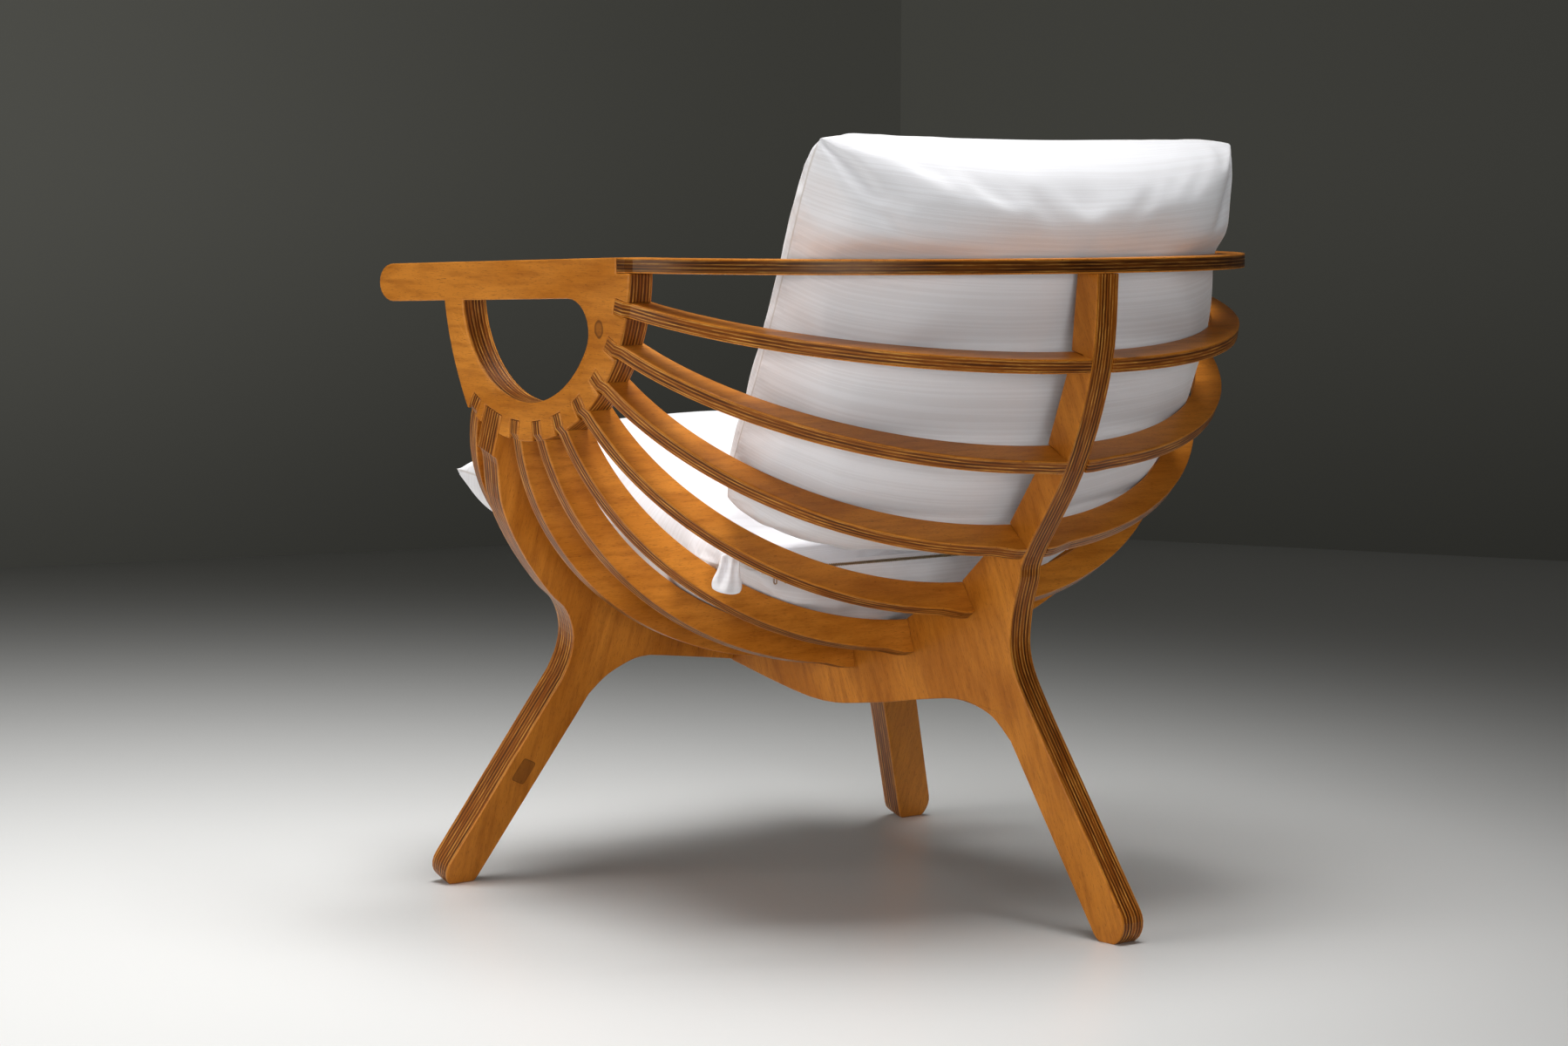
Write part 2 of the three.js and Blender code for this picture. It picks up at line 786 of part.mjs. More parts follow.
// An open loop, longer than it is wide, that hangs from the bridge.
function zipPull(x) {
  const radius = pullWidth / 2;
  const top = bridgeWire / 2 + clearance + pullRim - radius;
  const bottom = top - pullLength + pullWidth;
  const loop = (path, size) => {
    path.absarc(0, top, size, 0, Math.PI);
    path.absarc(0, bottom, size, Math.PI, 2 * Math.PI);
    path.closePath();
    return path;
  };
  const outline = loop(new THREE.Shape(), radius);
  outline.holes.push(loop(new THREE.Path(), radius - pullRim));
  const plate = toSidePlane(sawn(outline, pullThickness), x);
  return raised(plate.translate(0, bridgeY, zipHeight));
}

addPiece("left_arm_frame", armFrame(1), plyFinish);
addPiece("right_arm_frame", armFrame(-1), plyFinish);
addPiece("spine", spine(), plyFinish);
addPiece("front_frame", frontFrame(), plyFinish);
addPiece("front_hoop", inHoopPlane(hoop(lapSwell), frontHoopAngle), plyFinish);
addPiece("top_rail", topRail(), plyFinish);
ribAngles.forEach((angle, i) => {
  const swell = lapSwell * (lapSwellShares[i] ?? 1);
  addPiece("rib_" + (i + 2), inHoopPlane(hoop(swell), angle), plyFinish);
});

addPiece("seat_cushion", seatCushion(), fabricFinish);
addPiece("back_cushion", backCushion(), fabricFinish);
addPiece("seat_zip", zipTape(), fabricFinish);
addPiece("zip_slider_outer", zipSlider(sliderX[0]), brassFinish);
addPiece("zip_slider_inner", zipSlider(sliderX[1]), brassFinish);
addPiece("zip_pull_outer", zipPull(sliderX[0]), brassFinish);
addPiece("zip_pull_inner", zipPull(sliderX[1]), brassFinish);

// The origin is on the floor at the middle of the chair's box.
const box = new THREE.Box3().setFromObject(chair);
chair.position.y = -(box.min.y + box.max.y) / 2;

export default chair;
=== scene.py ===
# %% [markdown]
# # A three-legged lounge chair of sawn plywood
#
# The real chair is a fan of flat plywood hoops. They are let into two arm frames, lapped into
# one spine, and hold two loose white cushions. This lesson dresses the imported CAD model: it
# rebuilds the hoops with Geometry Nodes, rounds the sawn edges of the other boards, sews and
# inflates the cushions, and gives each surface a procedural finish.

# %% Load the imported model
import math

import bmesh
import bpy
import numpy as np
from mathutils import Matrix, Vector


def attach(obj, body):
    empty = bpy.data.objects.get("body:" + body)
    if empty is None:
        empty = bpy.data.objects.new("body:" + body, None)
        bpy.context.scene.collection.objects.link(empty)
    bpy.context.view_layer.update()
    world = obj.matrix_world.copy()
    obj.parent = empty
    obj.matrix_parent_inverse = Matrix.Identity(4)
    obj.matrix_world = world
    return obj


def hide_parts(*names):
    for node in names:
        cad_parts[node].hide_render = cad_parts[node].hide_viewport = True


MM = 0.001
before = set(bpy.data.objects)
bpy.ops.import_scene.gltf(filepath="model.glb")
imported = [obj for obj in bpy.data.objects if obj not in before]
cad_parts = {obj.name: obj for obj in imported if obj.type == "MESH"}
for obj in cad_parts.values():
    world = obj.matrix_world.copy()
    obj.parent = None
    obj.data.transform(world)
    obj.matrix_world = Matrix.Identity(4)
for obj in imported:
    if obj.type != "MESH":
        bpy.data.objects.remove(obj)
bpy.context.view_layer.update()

# %% [markdown]
# ## The fan's axis
#
# Every hoop's plane passes through one level axis. A point that is given by its reach from that
# axis and by its angle below the rear direction is the simplest way to place a hoop, so the
# axis is kept as a value. The foot of the spine and the arm frames give its place.

# %% The axis and the hoops' angles
AXIS_Y = -87.28 * MM
AXIS_Z = 667 * MM
axis = Vector((0, AXIS_Y, AXIS_Z))
hoop_angles = [12.6, 27.1, 41.5, 55.3, 69.2, 82.2, 95.5, 121.0]
front_frame_angle = 109.4
half_width = 404 * MM
print("The fan's axis is", round(AXIS_Z / MM), "mm above the floor")


def hoop_turn(degrees):
    """The rotation that takes the level sheet into a hoop's plane."""
    return Matrix.Rotation(-math.radians(degrees), 4, "X")


# %% [markdown]
# ## The camera
#
# The photograph looks down on the chair's back from the sitter's left. The place of the camera,
# its turn and its focal length were solved from the hoops, the legs and the feet. A camera
# looks along its own -Z, so the turns are given in the order in which a tripod makes them:
# pan, tilt, and a trace of roll.

# %% Place the camera
camera_place = Vector((2.5670, 2.8769, 0.7496))
camera_pan = math.radians(139.764)
camera_tilt = math.radians(84.717)
camera_roll = math.radians(0.170)
camera_lens = 83.51
camera_sensor = 36


def add_camera():
    data = bpy.data.cameras.new("camera")
    data.lens = camera_lens
    data.sensor_width = camera_sensor
    data.sensor_fit = "HORIZONTAL"
    camera = bpy.data.objects.new("camera", data)
    turn = Matrix.Rotation(camera_pan, 4, "Z") @ Matrix.Rotation(camera_tilt, 4, "X")
    turn = turn @ Matrix.Rotation(camera_roll, 4, "Z")
    camera.matrix_world = Matrix.Translation(camera_place) @ turn
    bpy.context.scene.collection.objects.link(camera)
    bpy.context.scene.camera = camera


add_camera()
print("The camera is", round(camera_place.length, 2), "m from the middle of the floor")

# %% [markdown]
# ## A short hand for shader nodes
#
# A material is a graph of nodes. Typing each node and link by hand hides what the material
# does, so this small class adds a node, feeds its inputs from numbers or from other nodes'
# sockets, and returns its output socket.


# %% A class for a material
class Finish:
    def __init__(self, name):
        self.material = bpy.data.materials.new(name)
        self.material.use_nodes = True
        self.tree = self.material.node_tree
        self.shader = self.tree.nodes["Principled BSDF"]

    def node(self, kind, **settings):
        node = self.tree.nodes.new(kind)
        for name, value in settings.items():
            setattr(node, name, value)
        return node

    def feed(self, socket, value):
        if isinstance(value, bpy.types.NodeSocket):
            self.tree.links.new(value, socket)
        else:
            socket.default_value = value

    def attribute(self, name):
        return self.node("ShaderNodeAttribute", attribute_name=name).outputs["Vector"]

    def split(self, vector):
        node = self.node("ShaderNodeSeparateXYZ")
        self.feed(node.inputs[0], vector)
        return node.outputs

    def math(self, operation, *values, clamp=False):
        node = self.node("ShaderNodeMath", operation=operation, use_clamp=clamp)
        for socket, value in zip(node.inputs, values):
            self.feed(socket, value)
        return node.outputs[0]

    def stretched(self, vector, scales, shift=(0, 0, 0)):
        node = self.node("ShaderNodeMapping")
        self.feed(node.inputs["Vector"], vector)
        node.inputs["Scale"].default_value = scales
        node.inputs["Location"].default_value = shift
        return node.outputs[0]

    def noise(self, vector, scale=1.0, detail=2.0, roughness=0.5, distortion=0.0):
        node = self.node("ShaderNodeTexNoise")
        self.feed(node.inputs["Vector"], vector)
        node.inputs["Scale"].default_value = scale
        node.inputs["Detail"].default_value = detail
        node.inputs["Roughness"].default_value = roughness
        node.inputs["Distortion"].default_value = distortion
        return node.outputs["Fac"]

    def between(self, value, low, high, new_low=0.0, new_high=1.0):
        node = self.node("ShaderNodeMapRange")
        node.interpolation_type = "SMOOTHSTEP"
        self.feed(node.inputs["Value"], value)
        node.inputs["From Min"].default_value = low
        node.inputs["From Max"].default_value = high
        node.inputs["To Min"].default_value = new_low
        node.inputs["To Max"].default_value = new_high
        return node.outputs["Result"]

    def mix(self, share, first, second, blend="MIX"):
        node = self.node("ShaderNodeMix", data_type="RGBA", blend_type=blend)
        self.feed(node.inputs[0], share)
        self.feed(node.inputs[6], first)
        self.feed(node.inputs[7], second)
        return node.outputs[2]

    def bump(self, height, distance, strength=1.0, under=None):
        node = self.node("ShaderNodeBump")
        node.inputs["Strength"].default_value = strength
        node.inputs["Distance"].default_value = distance
        self.feed(node.inputs["Height"], height)
        if under is not None:
            self.feed(node.inputs["Normal"], under)
        return node.outputs[0]


# %% [markdown]
# ## Lacquered birch plywood
#
# Plywood looks different on its faces and on its sawn edges, because an edge cuts through all
# the plies. A picture wrapped round the board would need two textures and a seam between them.
# A solid texture needs neither: it is asked for a colour at a point inside the wood. Each board
# carries an attribute named sheet, which holds how far a point is along the grain, across it,
# and above the board's mid plane. The last of the three says which ply the point lies in.
# Every second ply runs along the edge and is golden, and those between show dark end grain.

# %% The colours of the wood
face_colour = (0.40, 0.128, 0.010, 1)
face_light = (0.58, 0.215, 0.026, 1)
face_dark = (0.22, 0.057, 0.004, 1)
long_ply_colour = (0.25, 0.072, 0.007, 1)
bright_ply_colour = (0.62, 0.30, 0.060, 1)
end_ply_colour = (0.072, 0.017, 0.002, 1)
knot_colour = (0.085, 0.025, 0.005, 1)
grain_step = 3.7  # metres between two boards in the solid texture, so that no two look alike


def darker(colour, share):
    return (colour[0] * share, colour[1] * share, colour[2] * share, 1)


# %% [markdown]
# One arm frame has a knot, and one front leg has a small let-in patch. Both are marks on a face
# of the board, so the finish measures how far a point is from the mark's middle, along and
# across the mark, and darkens what is near.

# %% A knot or a patch
def marked(finish, sheet, colour, mark):
    """Darkens a mark on the upper face of one board."""
    along, across, depth = finish.split(sheet)
    turn = math.radians(mark["turn"])
    middle_along = mark["board"] * grain_step + mark["along"]
    from_along = finish.math("SUBTRACT", along, middle_along)
    from_across = finish.math("SUBTRACT", across, mark["across"])
    first = finish.math("MULTIPLY", from_along, math.cos(turn) / mark["length"])
    first = finish.math("MULTIPLY_ADD", from_across, math.sin(turn) / mark["length"], first)
    second = finish.math("MULTIPLY", from_along, -math.sin(turn) / mark["width"])
    second = finish.math("MULTIPLY_ADD", from_across, math.cos(turn) / mark["width"], second)
    # A high power gives a patch its square corners, and a low one a knot its round form.
    power = mark["squareness"]
    first = finish.math("POWER", finish.math("ABSOLUTE", first), power)
    second = finish.math("POWER", finish.math("ABSOLUTE", second), power)
    far = finish.math("ADD", first, second)
    wobble = finish.noise(finish.stretched(sheet, (120, 120, 60)), detail=2)
    far = finish.math("MULTIPLY_ADD", wobble, mark["wobble"], far)
    spot = finish.between(far, 0.75, 1.15, 1, 0)
    middle = finish.between(far, 0.45, 0.95, mark["middle_share"], 1)
    dark = finish.math("MULTIPLY", spot, middle)
    above = finish.math("GREATER_THAN", depth, 0)
    return finish.mix(finish.math("MULTIPLY", dark, above), colour, knot_colour)


# %% Plywood, with its faces and its sawn edges
ply_wander = 0.6 * MM
veneer_blend = 0.35 * MM
ply_relief = 0.15 * MM
fibre_relief = 0.05 * MM
level_shift_share = 0.3


def plywood_finish(name, thickness, plies, marks=(), edge_shade_share=1):
    # A share below one darkens the sawn edges' plies. This is painted shade, not a different wood.
    finish = Finish(name)
    long_ply = darker(long_ply_colour, edge_shade_share)
    bright_ply = darker(bright_ply_colour, edge_shade_share)
    end_ply = darker(end_ply_colour, edge_shade_share)
    sheet = finish.attribute("sheet")
    along, across, depth = finish.split(sheet)
    # Face veneer: clouds, then a long figure, fine fibres and short dark pores.
    cloud = finish.noise(finish.stretched(sheet, (5, 13, 3)), detail=4, distortion=0.5)
    figure = finish.noise(finish.stretched(sheet, (14, 110, 10)), detail=4, roughness=0.65)
    fibre = finish.noise(finish.stretched(sheet, (45, 1500, 300)), detail=3, roughness=0.7)
    pore = finish.noise(finish.stretched(sheet, (150, 2300, 500)), detail=1)
    knot = finish.noise(finish.stretched(sheet, (9, 17, 9), (0.7, 0.2, 0)), detail=0)
    face = finish.mix(finish.between(cloud, 0.32, 0.70), face_colour, face_light)
    face = finish.mix(finish.between(figure, 0.38, 0.72, 0, 0.50), face, face_dark)
    face = finish.mix(finish.between(fibre, 0.45, 0.75, 0, 0.40), face, face_light)
    face = finish.mix(finish.between(pore, 0.62, 0.74, 0, 0.70), face, knot_colour)
    face = finish.mix(finish.between(knot, 0.84, 0.90, 0, 0.55), face, knot_colour)
    for mark in marks:
        face = marked(finish, sheet, face, mark)
    # Edge: the number of the ply, and how far the point is into it.
    wobble = finish.noise(finish.stretched(sheet, (9, 9, 2)), detail=1)
    shifted = finish.math("MULTIPLY_ADD", wobble, ply_wander, depth)
    first_ply = plies / 2 - level_shift_share
    level = finish.math("MULTIPLY_ADD", shifted, plies / thickness, first_ply)
    number = finish.math("FLOOR", level)
    part = finish.math("FRACT", level)
    odd = finish.math("ABSOLUTE", finish.math("MODULO", number, 2.0))
    soft = finish.between(finish.math("PINGPONG", part, 0.5), 0.02, 0.22)
    streak = finish.noise(finish.stretched(sheet, (38, 38, 1300)), detail=3, roughness=0.75)
    patch = finish.noise(finish.stretched(sheet, (16, 16, 400)), detail=2)
    dark_ply = darker(face_dark, edge_shade_share)
    end = finish.mix(finish.between(patch, 0.40, 0.66), end_ply, dark_ply)
    gold = finish.mix(finish.between(patch, 0.36, 0.60), long_ply, bright_ply)
    long = finish.mix(finish.between(streak, 0.40, 0.62), long_ply, gold)
    bright = finish.math("MULTIPLY", odd, soft)
    ply = finish.mix(bright, end, long)
    # The outermost plies are the face veneer.
    inside = finish.math("ABSOLUTE", depth)
    skin = thickness / 2 * (1 - 2 / plies)
    is_face = finish.between(inside, skin, skin + veneer_blend)
    colour = finish.mix(is_face, ply, face)
    finish.feed(finish.shader.inputs["Base Color"], colour)
    gloss = finish.between(cloud, 0.3, 0.7, 0.34, 0.46)
    finish.feed(finish.shader.inputs["Roughness"], gloss)
    finish.shader.inputs["Coat Weight"].default_value = 0.06
    finish.shader.inputs["Coat Roughness"].default_value = 0.25
    finish.shader.inputs["Coat Tint"].default_value = (1.0, 0.86, 0.66, 1)
    finish.shader.inputs["Specular IOR Level"].default_value = 0.26
    finish.shader.inputs["Specular Tint"].default_value = (1.0, 0.80, 0.55, 1)
    is_edge = finish.math("SUBTRACT", 1.0, is_face)
    ridges = finish.math("MULTIPLY", bright, is_edge)
    relief = finish.bump(ridges, ply_relief, 0.7)
    relief = finish.bump(fibre, fibre_relief, 0.35, relief)
    finish.feed(finish.shader.inputs["Normal"], relief)
    return finish.material


# %% The three finishes of board: the rail's is the hoops' plywood with painted shade on its sawn edges
hoop_thickness = 15 * MM
frame_thickness = 30 * MM
hoop_wood = plywood_finish("hoop_plywood", hoop_thickness, 9)
# The rail is the hoops' plywood with painted shade: its sawn edges are darkened to less than half.
shaded_rail_wood = plywood_finish("rail_plywood_edge_shade", hoop_thickness, 9, edge_shade_share=0.45)
arm_knot = {
    "board": 1,
    "along": 39 * MM,
    "across": 610 * MM,
    "length": 8 * MM,
    "width": 11 * MM,
    "turn": 0,
    "squareness": 2,
    "wobble": 0.5,
    "middle_share": 0.45,
}
leg_patch = {
    "board": 4,
    "along": 573 * MM,
    "across": 276 * MM,
    "length": 14 * MM,
    "width": 10 * MM,
    "turn": 25,
    "squareness": 8,
    "wobble": 0.1,
    "middle_share": 0.55,
}
frame_wood = plywood_finish("frame_plywood", frame_thickness, 15, (arm_knot, leg_patch))
for wood in (hoop_wood, shaded_rail_wood, frame_wood):
    print(wood.name, "has", len(wood.node_tree.nodes), "nodes")

# %% [markdown]
# ## Helpers for plain meshes
#
# A finished piece is an object at the origin whose place is in its mesh. These helpers make
# such an object, write a vector attribute on its points, and smooth it without softening the
# edges that a maker would call sharp.


# %% Pieces, points and attributes
def new_piece(name, mesh, material):
    piece = bpy.data.objects.new(name, mesh)
    mesh.materials.clear()
    mesh.materials.append(material)
    bpy.context.scene.collection.objects.link(piece)
    return piece


def points_of(mesh):
    flat = np.empty(len(mesh.vertices) * 3, dtype=np.float32)
    mesh.vertices.foreach_get("co", flat)
    return flat.reshape(-1, 3).astype(float)


def write_attribute(mesh, name, values, domain="POINT"):
    if name in mesh.attributes:
        mesh.attributes.remove(mesh.attributes[name])
    attribute = mesh.attributes.new(name, "FLOAT_VECTOR", domain)
    attribute.data.foreach_set("vector", np.asarray(values, dtype=np.float32).ravel())


# %% Rounded edges
flat_area = 60 * MM * MM
merge_distance = 0.4 * MM
sliver_length = 0.05 * MM


def smooth_by_angle(mesh, degrees=32):
    mesh.shade_smooth()
    mesh.set_sharp_from_angle(angle=math.radians(degrees))


def round_edges(mesh, radius, sharper_than=38):
    """Merges loose triangles, and rounds the edges at which the board turns sharply."""
    work = bmesh.new()
    work.from_mesh(mesh)
    bmesh.ops.remove_doubles(work, verts=work.verts, dist=merge_distance)
    bmesh.ops.dissolve_degenerate(work, edges=work.edges, dist=sliver_length)
    limit = math.radians(sharper_than)
    sharp = [e for e in work.edges if len(e.link_faces) == 2 and e.calc_face_angle() > limit]
    bmesh.ops.bevel(
        work,
        geom=sharp,
        offset=radius,
        segments=2,
        profile=0.6,
        affect="EDGES",
        clamp_overlap=False,
    )
    work.to_mesh(mesh)
    work.free()
    smooth_by_angle(mesh)
    # The two broad faces are flat, so they are shaded flat up to their rounded edges.
    for polygon in mesh.polygons:
        if polygon.area > flat_area:
            polygon.use_smooth = False


# %% [markdown]
# ## The boards that are sawn from 30 mm plywood
#
# The arm frames, the spine and the front frame each have their own outline, with slots for the
# hoops. The CAD solids already have the right shape, but their edges are knife sharp, which no
# sanded and lacquered board has. A copy of each is merged, and its edges are rounded. Only the
# copy changes, and it stands for the CAD node.

# %% The four heavy boards
edge_radius = 1.3 * MM
spine_grain_share = 0.4  # how far the spine's grain leans, as a share of its rise


def board_from_node(node, material, to_sheet, place_in_texture):
    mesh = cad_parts[node].data.copy()
    mesh.name = node + "_board"
    round_edges(mesh, edge_radius)
    sheet = np.array([to_sheet(Vector(p)) for p in points_of(mesh)])
    sheet[:, 0] += grain_step * place_in_texture
    write_attribute(mesh, "sheet", sheet)
    piece = new_piece(node + "_board", mesh, material)
    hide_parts(node)
    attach(piece, "chair_frame")
    return piece


def arm_sheet(side):
    middle = side * (half_width - frame_thickness / 2)
    return lambda p: (p.y, p.z, (p.x - middle) * side)


def spine_sheet(p):
    lean = spine_grain_share
    return (p.z - lean * p.y, p.y + lean * p.z, p.x)


def front_sheet(p):
    flat = hoop_turn(front_frame_angle).inverted() @ (p - axis)
    return (flat.y, flat.x, flat.z)


boards = [
    board_from_node("left_arm_frame", frame_wood, arm_sheet(1), 1),
    board_from_node("right_arm_frame", frame_wood, arm_sheet(-1), 2),
    board_from_node("spine", frame_wood, spine_sheet, 3),
    board_from_node("front_frame", frame_wood, front_sheet, 4),
]
for board in boards:
    print(board.name, len(board.data.polygons), "faces")

# %% [markdown]
# ## The hoops
#
# Seven ribs, the front hoop and the top rail are one kind of board, sawn from 15 mm plywood:
# half an ellipse, lapped where it crosses the spine. Geometry Nodes can follow such a rule. A
# flat strip is given its thickness, cut for the lap, and set on one point for each hoop, turned
# by the angle that its point carries. Only two things differ. The two uppermost ribs and the
# rail swell less or not at all at the spine, and the rail's lap is cut from the other side.

# %% The hoop's sizes and its two lines
hoop_centre = 128 * MM
hoop_inner = 398 * MM
hoop_outer = 429 * MM
hoop_side = 30 * MM
hoop_end = 154 * MM
lap_swell = 5 * MM
lap_swell_half = 21 * MM
lap_swell_end = 58 * MM
shoulder_start = 174 * MM
rail_rise = 6 * MM
hoop_chords = 132


def half_ellipse(reach_in_middle, width, count):
    """Points from the +X end to the -X end, in X and reach."""
    depth = reach_in_middle - hoop_centre
    start = math.asin((hoop_end - hoop_centre) / depth)
    turns = np.linspace(start, math.pi - start, count)
    return np.stack([width * np.cos(turns), hoop_centre + depth * np.sin(turns)], axis=1)


def outer_line(count, swell):
    line = half_ellipse(hoop_outer, half_width, count)
    x = np.abs(line[:, 0])
    away = np.clip((x - lap_swell_half) / (lap_swell_end - lap_swell_half), 0, 1)
    away = away * away * (3 - 2 * away)
    line[:, 1] += swell * (1 - away)
    # Near the arm frame the outer edge runs straight, flush with the frame's face.
    straight = line[:, 1] < shoulder_start
    line[straight, 0] = np.sign(line[straight, 0]) * half_width
    return line


# %% A class for a Geometry Nodes tree
class Tree:
    """A short hand for a Geometry Nodes tree, as Finish is for a material."""

    def __init__(self, name):
        self.group = bpy.data.node_groups.new(name, "GeometryNodeTree")
        self.group.is_modifier = True
        self.identifiers = {}
        self.add_socket("Geometry", "NodeSocketGeometry", "INPUT")
        self.add_socket("Geometry", "NodeSocketGeometry", "OUTPUT")
        self.inputs = self.group.nodes.new("NodeGroupInput")
        self.outputs = self.group.nodes.new("NodeGroupOutput")

    def add_socket(self, name, kind, direction="INPUT"):
        item = self.group.interface.new_socket(name=name, in_out=direction, socket_type=kind)
        self.identifiers[(name, direction)] = item.identifier
        return item

    def size(self, name, value):
        item = self.add_socket(name, "NodeSocketFloat")
        item.default_value = value
        return self.inputs.outputs[name]

    def feed(self, socket, value):
        if isinstance(value, bpy.types.NodeSocket):
            self.group.links.new(value, socket)
        else:
            socket.default_value = value

    def node(self, kind, *values, settings=None, **named):
        node = self.group.nodes.new(kind)
        for name, value in (settings or {}).items():
            setattr(node, name, value)
        for socket, value in zip(node.inputs, values):
            if value is not None:
                self.feed(socket, value)
        for name, value in named.items():
            self.feed(node.inputs[name.replace("_", " ")], value)
        return node

    def math(self, operation, *values):
        return self.node("ShaderNodeMath", *values, settings={"operation": operation}).outputs[0]

    def finish(self, geometry, material):
        real = self.node("GeometryNodeRealizeInstances", geometry)
        painted = self.node("GeometryNodeSetMaterial", real.outputs[0])
        painted.inputs["Material"].default_value = material
        self.group.links.new(painted.outputs[0], self.outputs.inputs[0])
        return self.group


def grow(tree, seed_mesh, values, material):
    """Runs a tree on a seed mesh and returns the plain mesh that it makes."""
    seed = bpy.data.objects.new("seed", seed_mesh)
    bpy.context.scene.collection.objects.link(seed)
    modifier = seed.modifiers.new("tree", "NODES")
    modifier.node_group = tree.group
    for name, value in values.items():
        modifier[tree.identifiers[(name, "INPUT")]] = value
    evaluated = seed.evaluated_get(bpy.context.evaluated_depsgraph_get())
    mesh = bpy.data.meshes.new_from_object(evaluated)
    bpy.data.objects.remove(seed)
    mesh.materials.clear()
    mesh.materials.append(material)
    return mesh


# %% [markdown]
# The outline is easier to reason about as a list of points, so the flat board is made first as
# a strip of faces between its inner and its outer line. The tree then does what a workshop
# does with it: gives it its thickness, cuts the lap, and stands a copy at each angle.


# %% The flat board
def flat_hoop(swell):
    inner = half_ellipse(hoop_inner, half_width - hoop_side, hoop_chords + 1)
    outer = outer_line(hoop_chords + 1, swell)
    mesh = bpy.data.meshes.new("flat_hoop")
    points = [(x, reach, 0) for x, reach in np.concatenate([inner, outer])]
    row = hoop_chords + 1
    faces = [(i, i + 1, row + i + 1, row + i) for i in range(hoop_chords)]
    mesh.from_pydata(points, [], faces)
    return mesh


# %% The tree that saws and sets the hoops
def hoop_tree():
    tree = Tree("sawn_hoops")
    board = tree.add_socket("Board", "NodeSocketObject")
    thickness = tree.size("Thickness", hoop_thickness)
    lap_width = tree.size("Lap width", frame_thickness)
    lap_from = tree.size("Lap from", 0.0)
    lap_to = tree.size("Lap to", 0.0)
    step = tree.size("Texture step", grain_step)
    flat = tree.node("GeometryNodeObjectInfo", tree.inputs.outputs[board.name])
    # Thickness: the strip is raised, pushed down again, and closed above by a flipped copy.
    up = tree.node("ShaderNodeCombineXYZ", 0.0, 0.0, tree.math("MULTIPLY", thickness, 0.5))
    down = tree.node("ShaderNodeCombineXYZ", 0.0, 0.0, tree.math("MULTIPLY", thickness, -1.0))
    raised = tree.node(
        "GeometryNodeSetPosition", flat.outputs["Geometry"], Offset=up.outputs[0]
    )
    thick = tree.node(
        "GeometryNodeExtrudeMesh",
        raised.outputs[0],
        settings={"mode": "FACES"},
        Offset=down.outputs[0],
        Individual=False,
    )
    upper = tree.node("GeometryNodeFlipFaces", raised.outputs[0])
    closed = tree.node("GeometryNodeJoinGeometry")
    tree.group.links.new(thick.outputs["Mesh"], closed.inputs[0])
    tree.group.links.new(upper.outputs[0], closed.inputs[0])
    merged = tree.node("GeometryNodeMergeByDistance", closed.outputs[0])
    # Lap: a block as wide as the spine is cut away between two reaches.
    length = tree.math("SUBTRACT", lap_to, lap_from)
    middle = tree.math("MULTIPLY", tree.math("ADD", lap_to, lap_from), 0.5)
    size = tree.node(
        "ShaderNodeCombineXYZ", lap_width, length, tree.math("MULTIPLY", thickness, 2.0)
    )
    block = tree.node("GeometryNodeMeshCube", size.outputs[0])
    place = tree.node("ShaderNodeCombineXYZ", 0.0, middle, 0.0)
    block = tree.node(
        "GeometryNodeTransform", block.outputs[0], Translation=place.outputs[0]
    )
    cut = tree.node("GeometryNodeMeshBoolean", settings={"operation": "DIFFERENCE"})
    tree.group.links.new(merged.outputs[0], cut.inputs["Mesh 1"])
    tree.group.links.new(block.outputs[0], cut.inputs["Mesh 2"])
    # The solid texture's place is stored before the board is turned.
    position = tree.node("GeometryNodeInputPosition")
    known = tree.node(
        "GeometryNodeStoreNamedAttribute",
        cut.outputs["Mesh"],
        settings={"data_type": "FLOAT_VECTOR", "domain": "POINT"},
        Name="sheet",
        Value=position.outputs[0],
    )
    # One copy on each point, turned by the angle that the point carries.
    angle = tree.node("GeometryNodeInputNamedAttribute", "angle")
    turn = tree.math("MULTIPLY", angle.outputs[0], -1.0)
    turned = tree.node("ShaderNodeCombineXYZ", turn, 0.0, 0.0)
    copies = tree.node(
        "GeometryNodeInstanceOnPoints",
        tree.inputs.outputs["Geometry"],
        Instance=known.outputs[0],
        Rotation=turned.outputs[0],
    )
    number = tree.node("GeometryNodeInputIndex")
    numbered = tree.node(
        "GeometryNodeStoreNamedAttribute",
        copies.outputs[0],
        settings={"data_type": "FLOAT", "domain": "INSTANCE"},
        Name="board_number",
        Value=tree.math("MULTIPLY", number.outputs[0], step),
    )
    tree.finish(numbered.outputs[0], hoop_wood)
    return tree


# %% The seven ribs, the front hoop and the rail
def angle_points(angles, rise=0.0):
    """One point on the fan's axis for each hoop, with its angle in radians."""
    mesh = bpy.data.meshes.new("angles")
    mesh.from_pydata([(0, AXIS_Y, AXIS_Z + rise) for _ in angles], [], [])
    attribute = mesh.attributes.new("angle", "FLOAT", "POINT")
    attribute.data.foreach_set("value", [math.radians(a) for a in angles])
    return mesh


def read_attribute(mesh, name, kind, width):
    flat = np.empty(len(mesh.vertices) * width, dtype=np.float32)
    mesh.attributes[name].data.foreach_get(kind, flat)
    return flat


def hoops(name, tree, angles, rise, swell, lap, nodes, first_number, material):
    board = bpy.data.objects.new("flat_hoop", flat_hoop(swell))
    bpy.context.scene.collection.objects.link(board)
    values = {"Board": board, "Lap from": lap[0], "Lap to": lap[1]}
    mesh = grow(tree, angle_points(angles, rise), values, material)
    bpy.data.objects.remove(board)
    round_edges(mesh, edge_radius)
    sheet = read_attribute(mesh, "sheet", "vector", 3).reshape(-1, 3)
    numbers = read_attribute(mesh, "board_number", "value", 1)
    sheet[:, 0] += numbers + first_number * grain_step
    write_attribute(mesh, "sheet", sheet)
    piece = new_piece(name, mesh, material)
    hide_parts(*nodes)
    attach(piece, "chair_frame")
    return piece


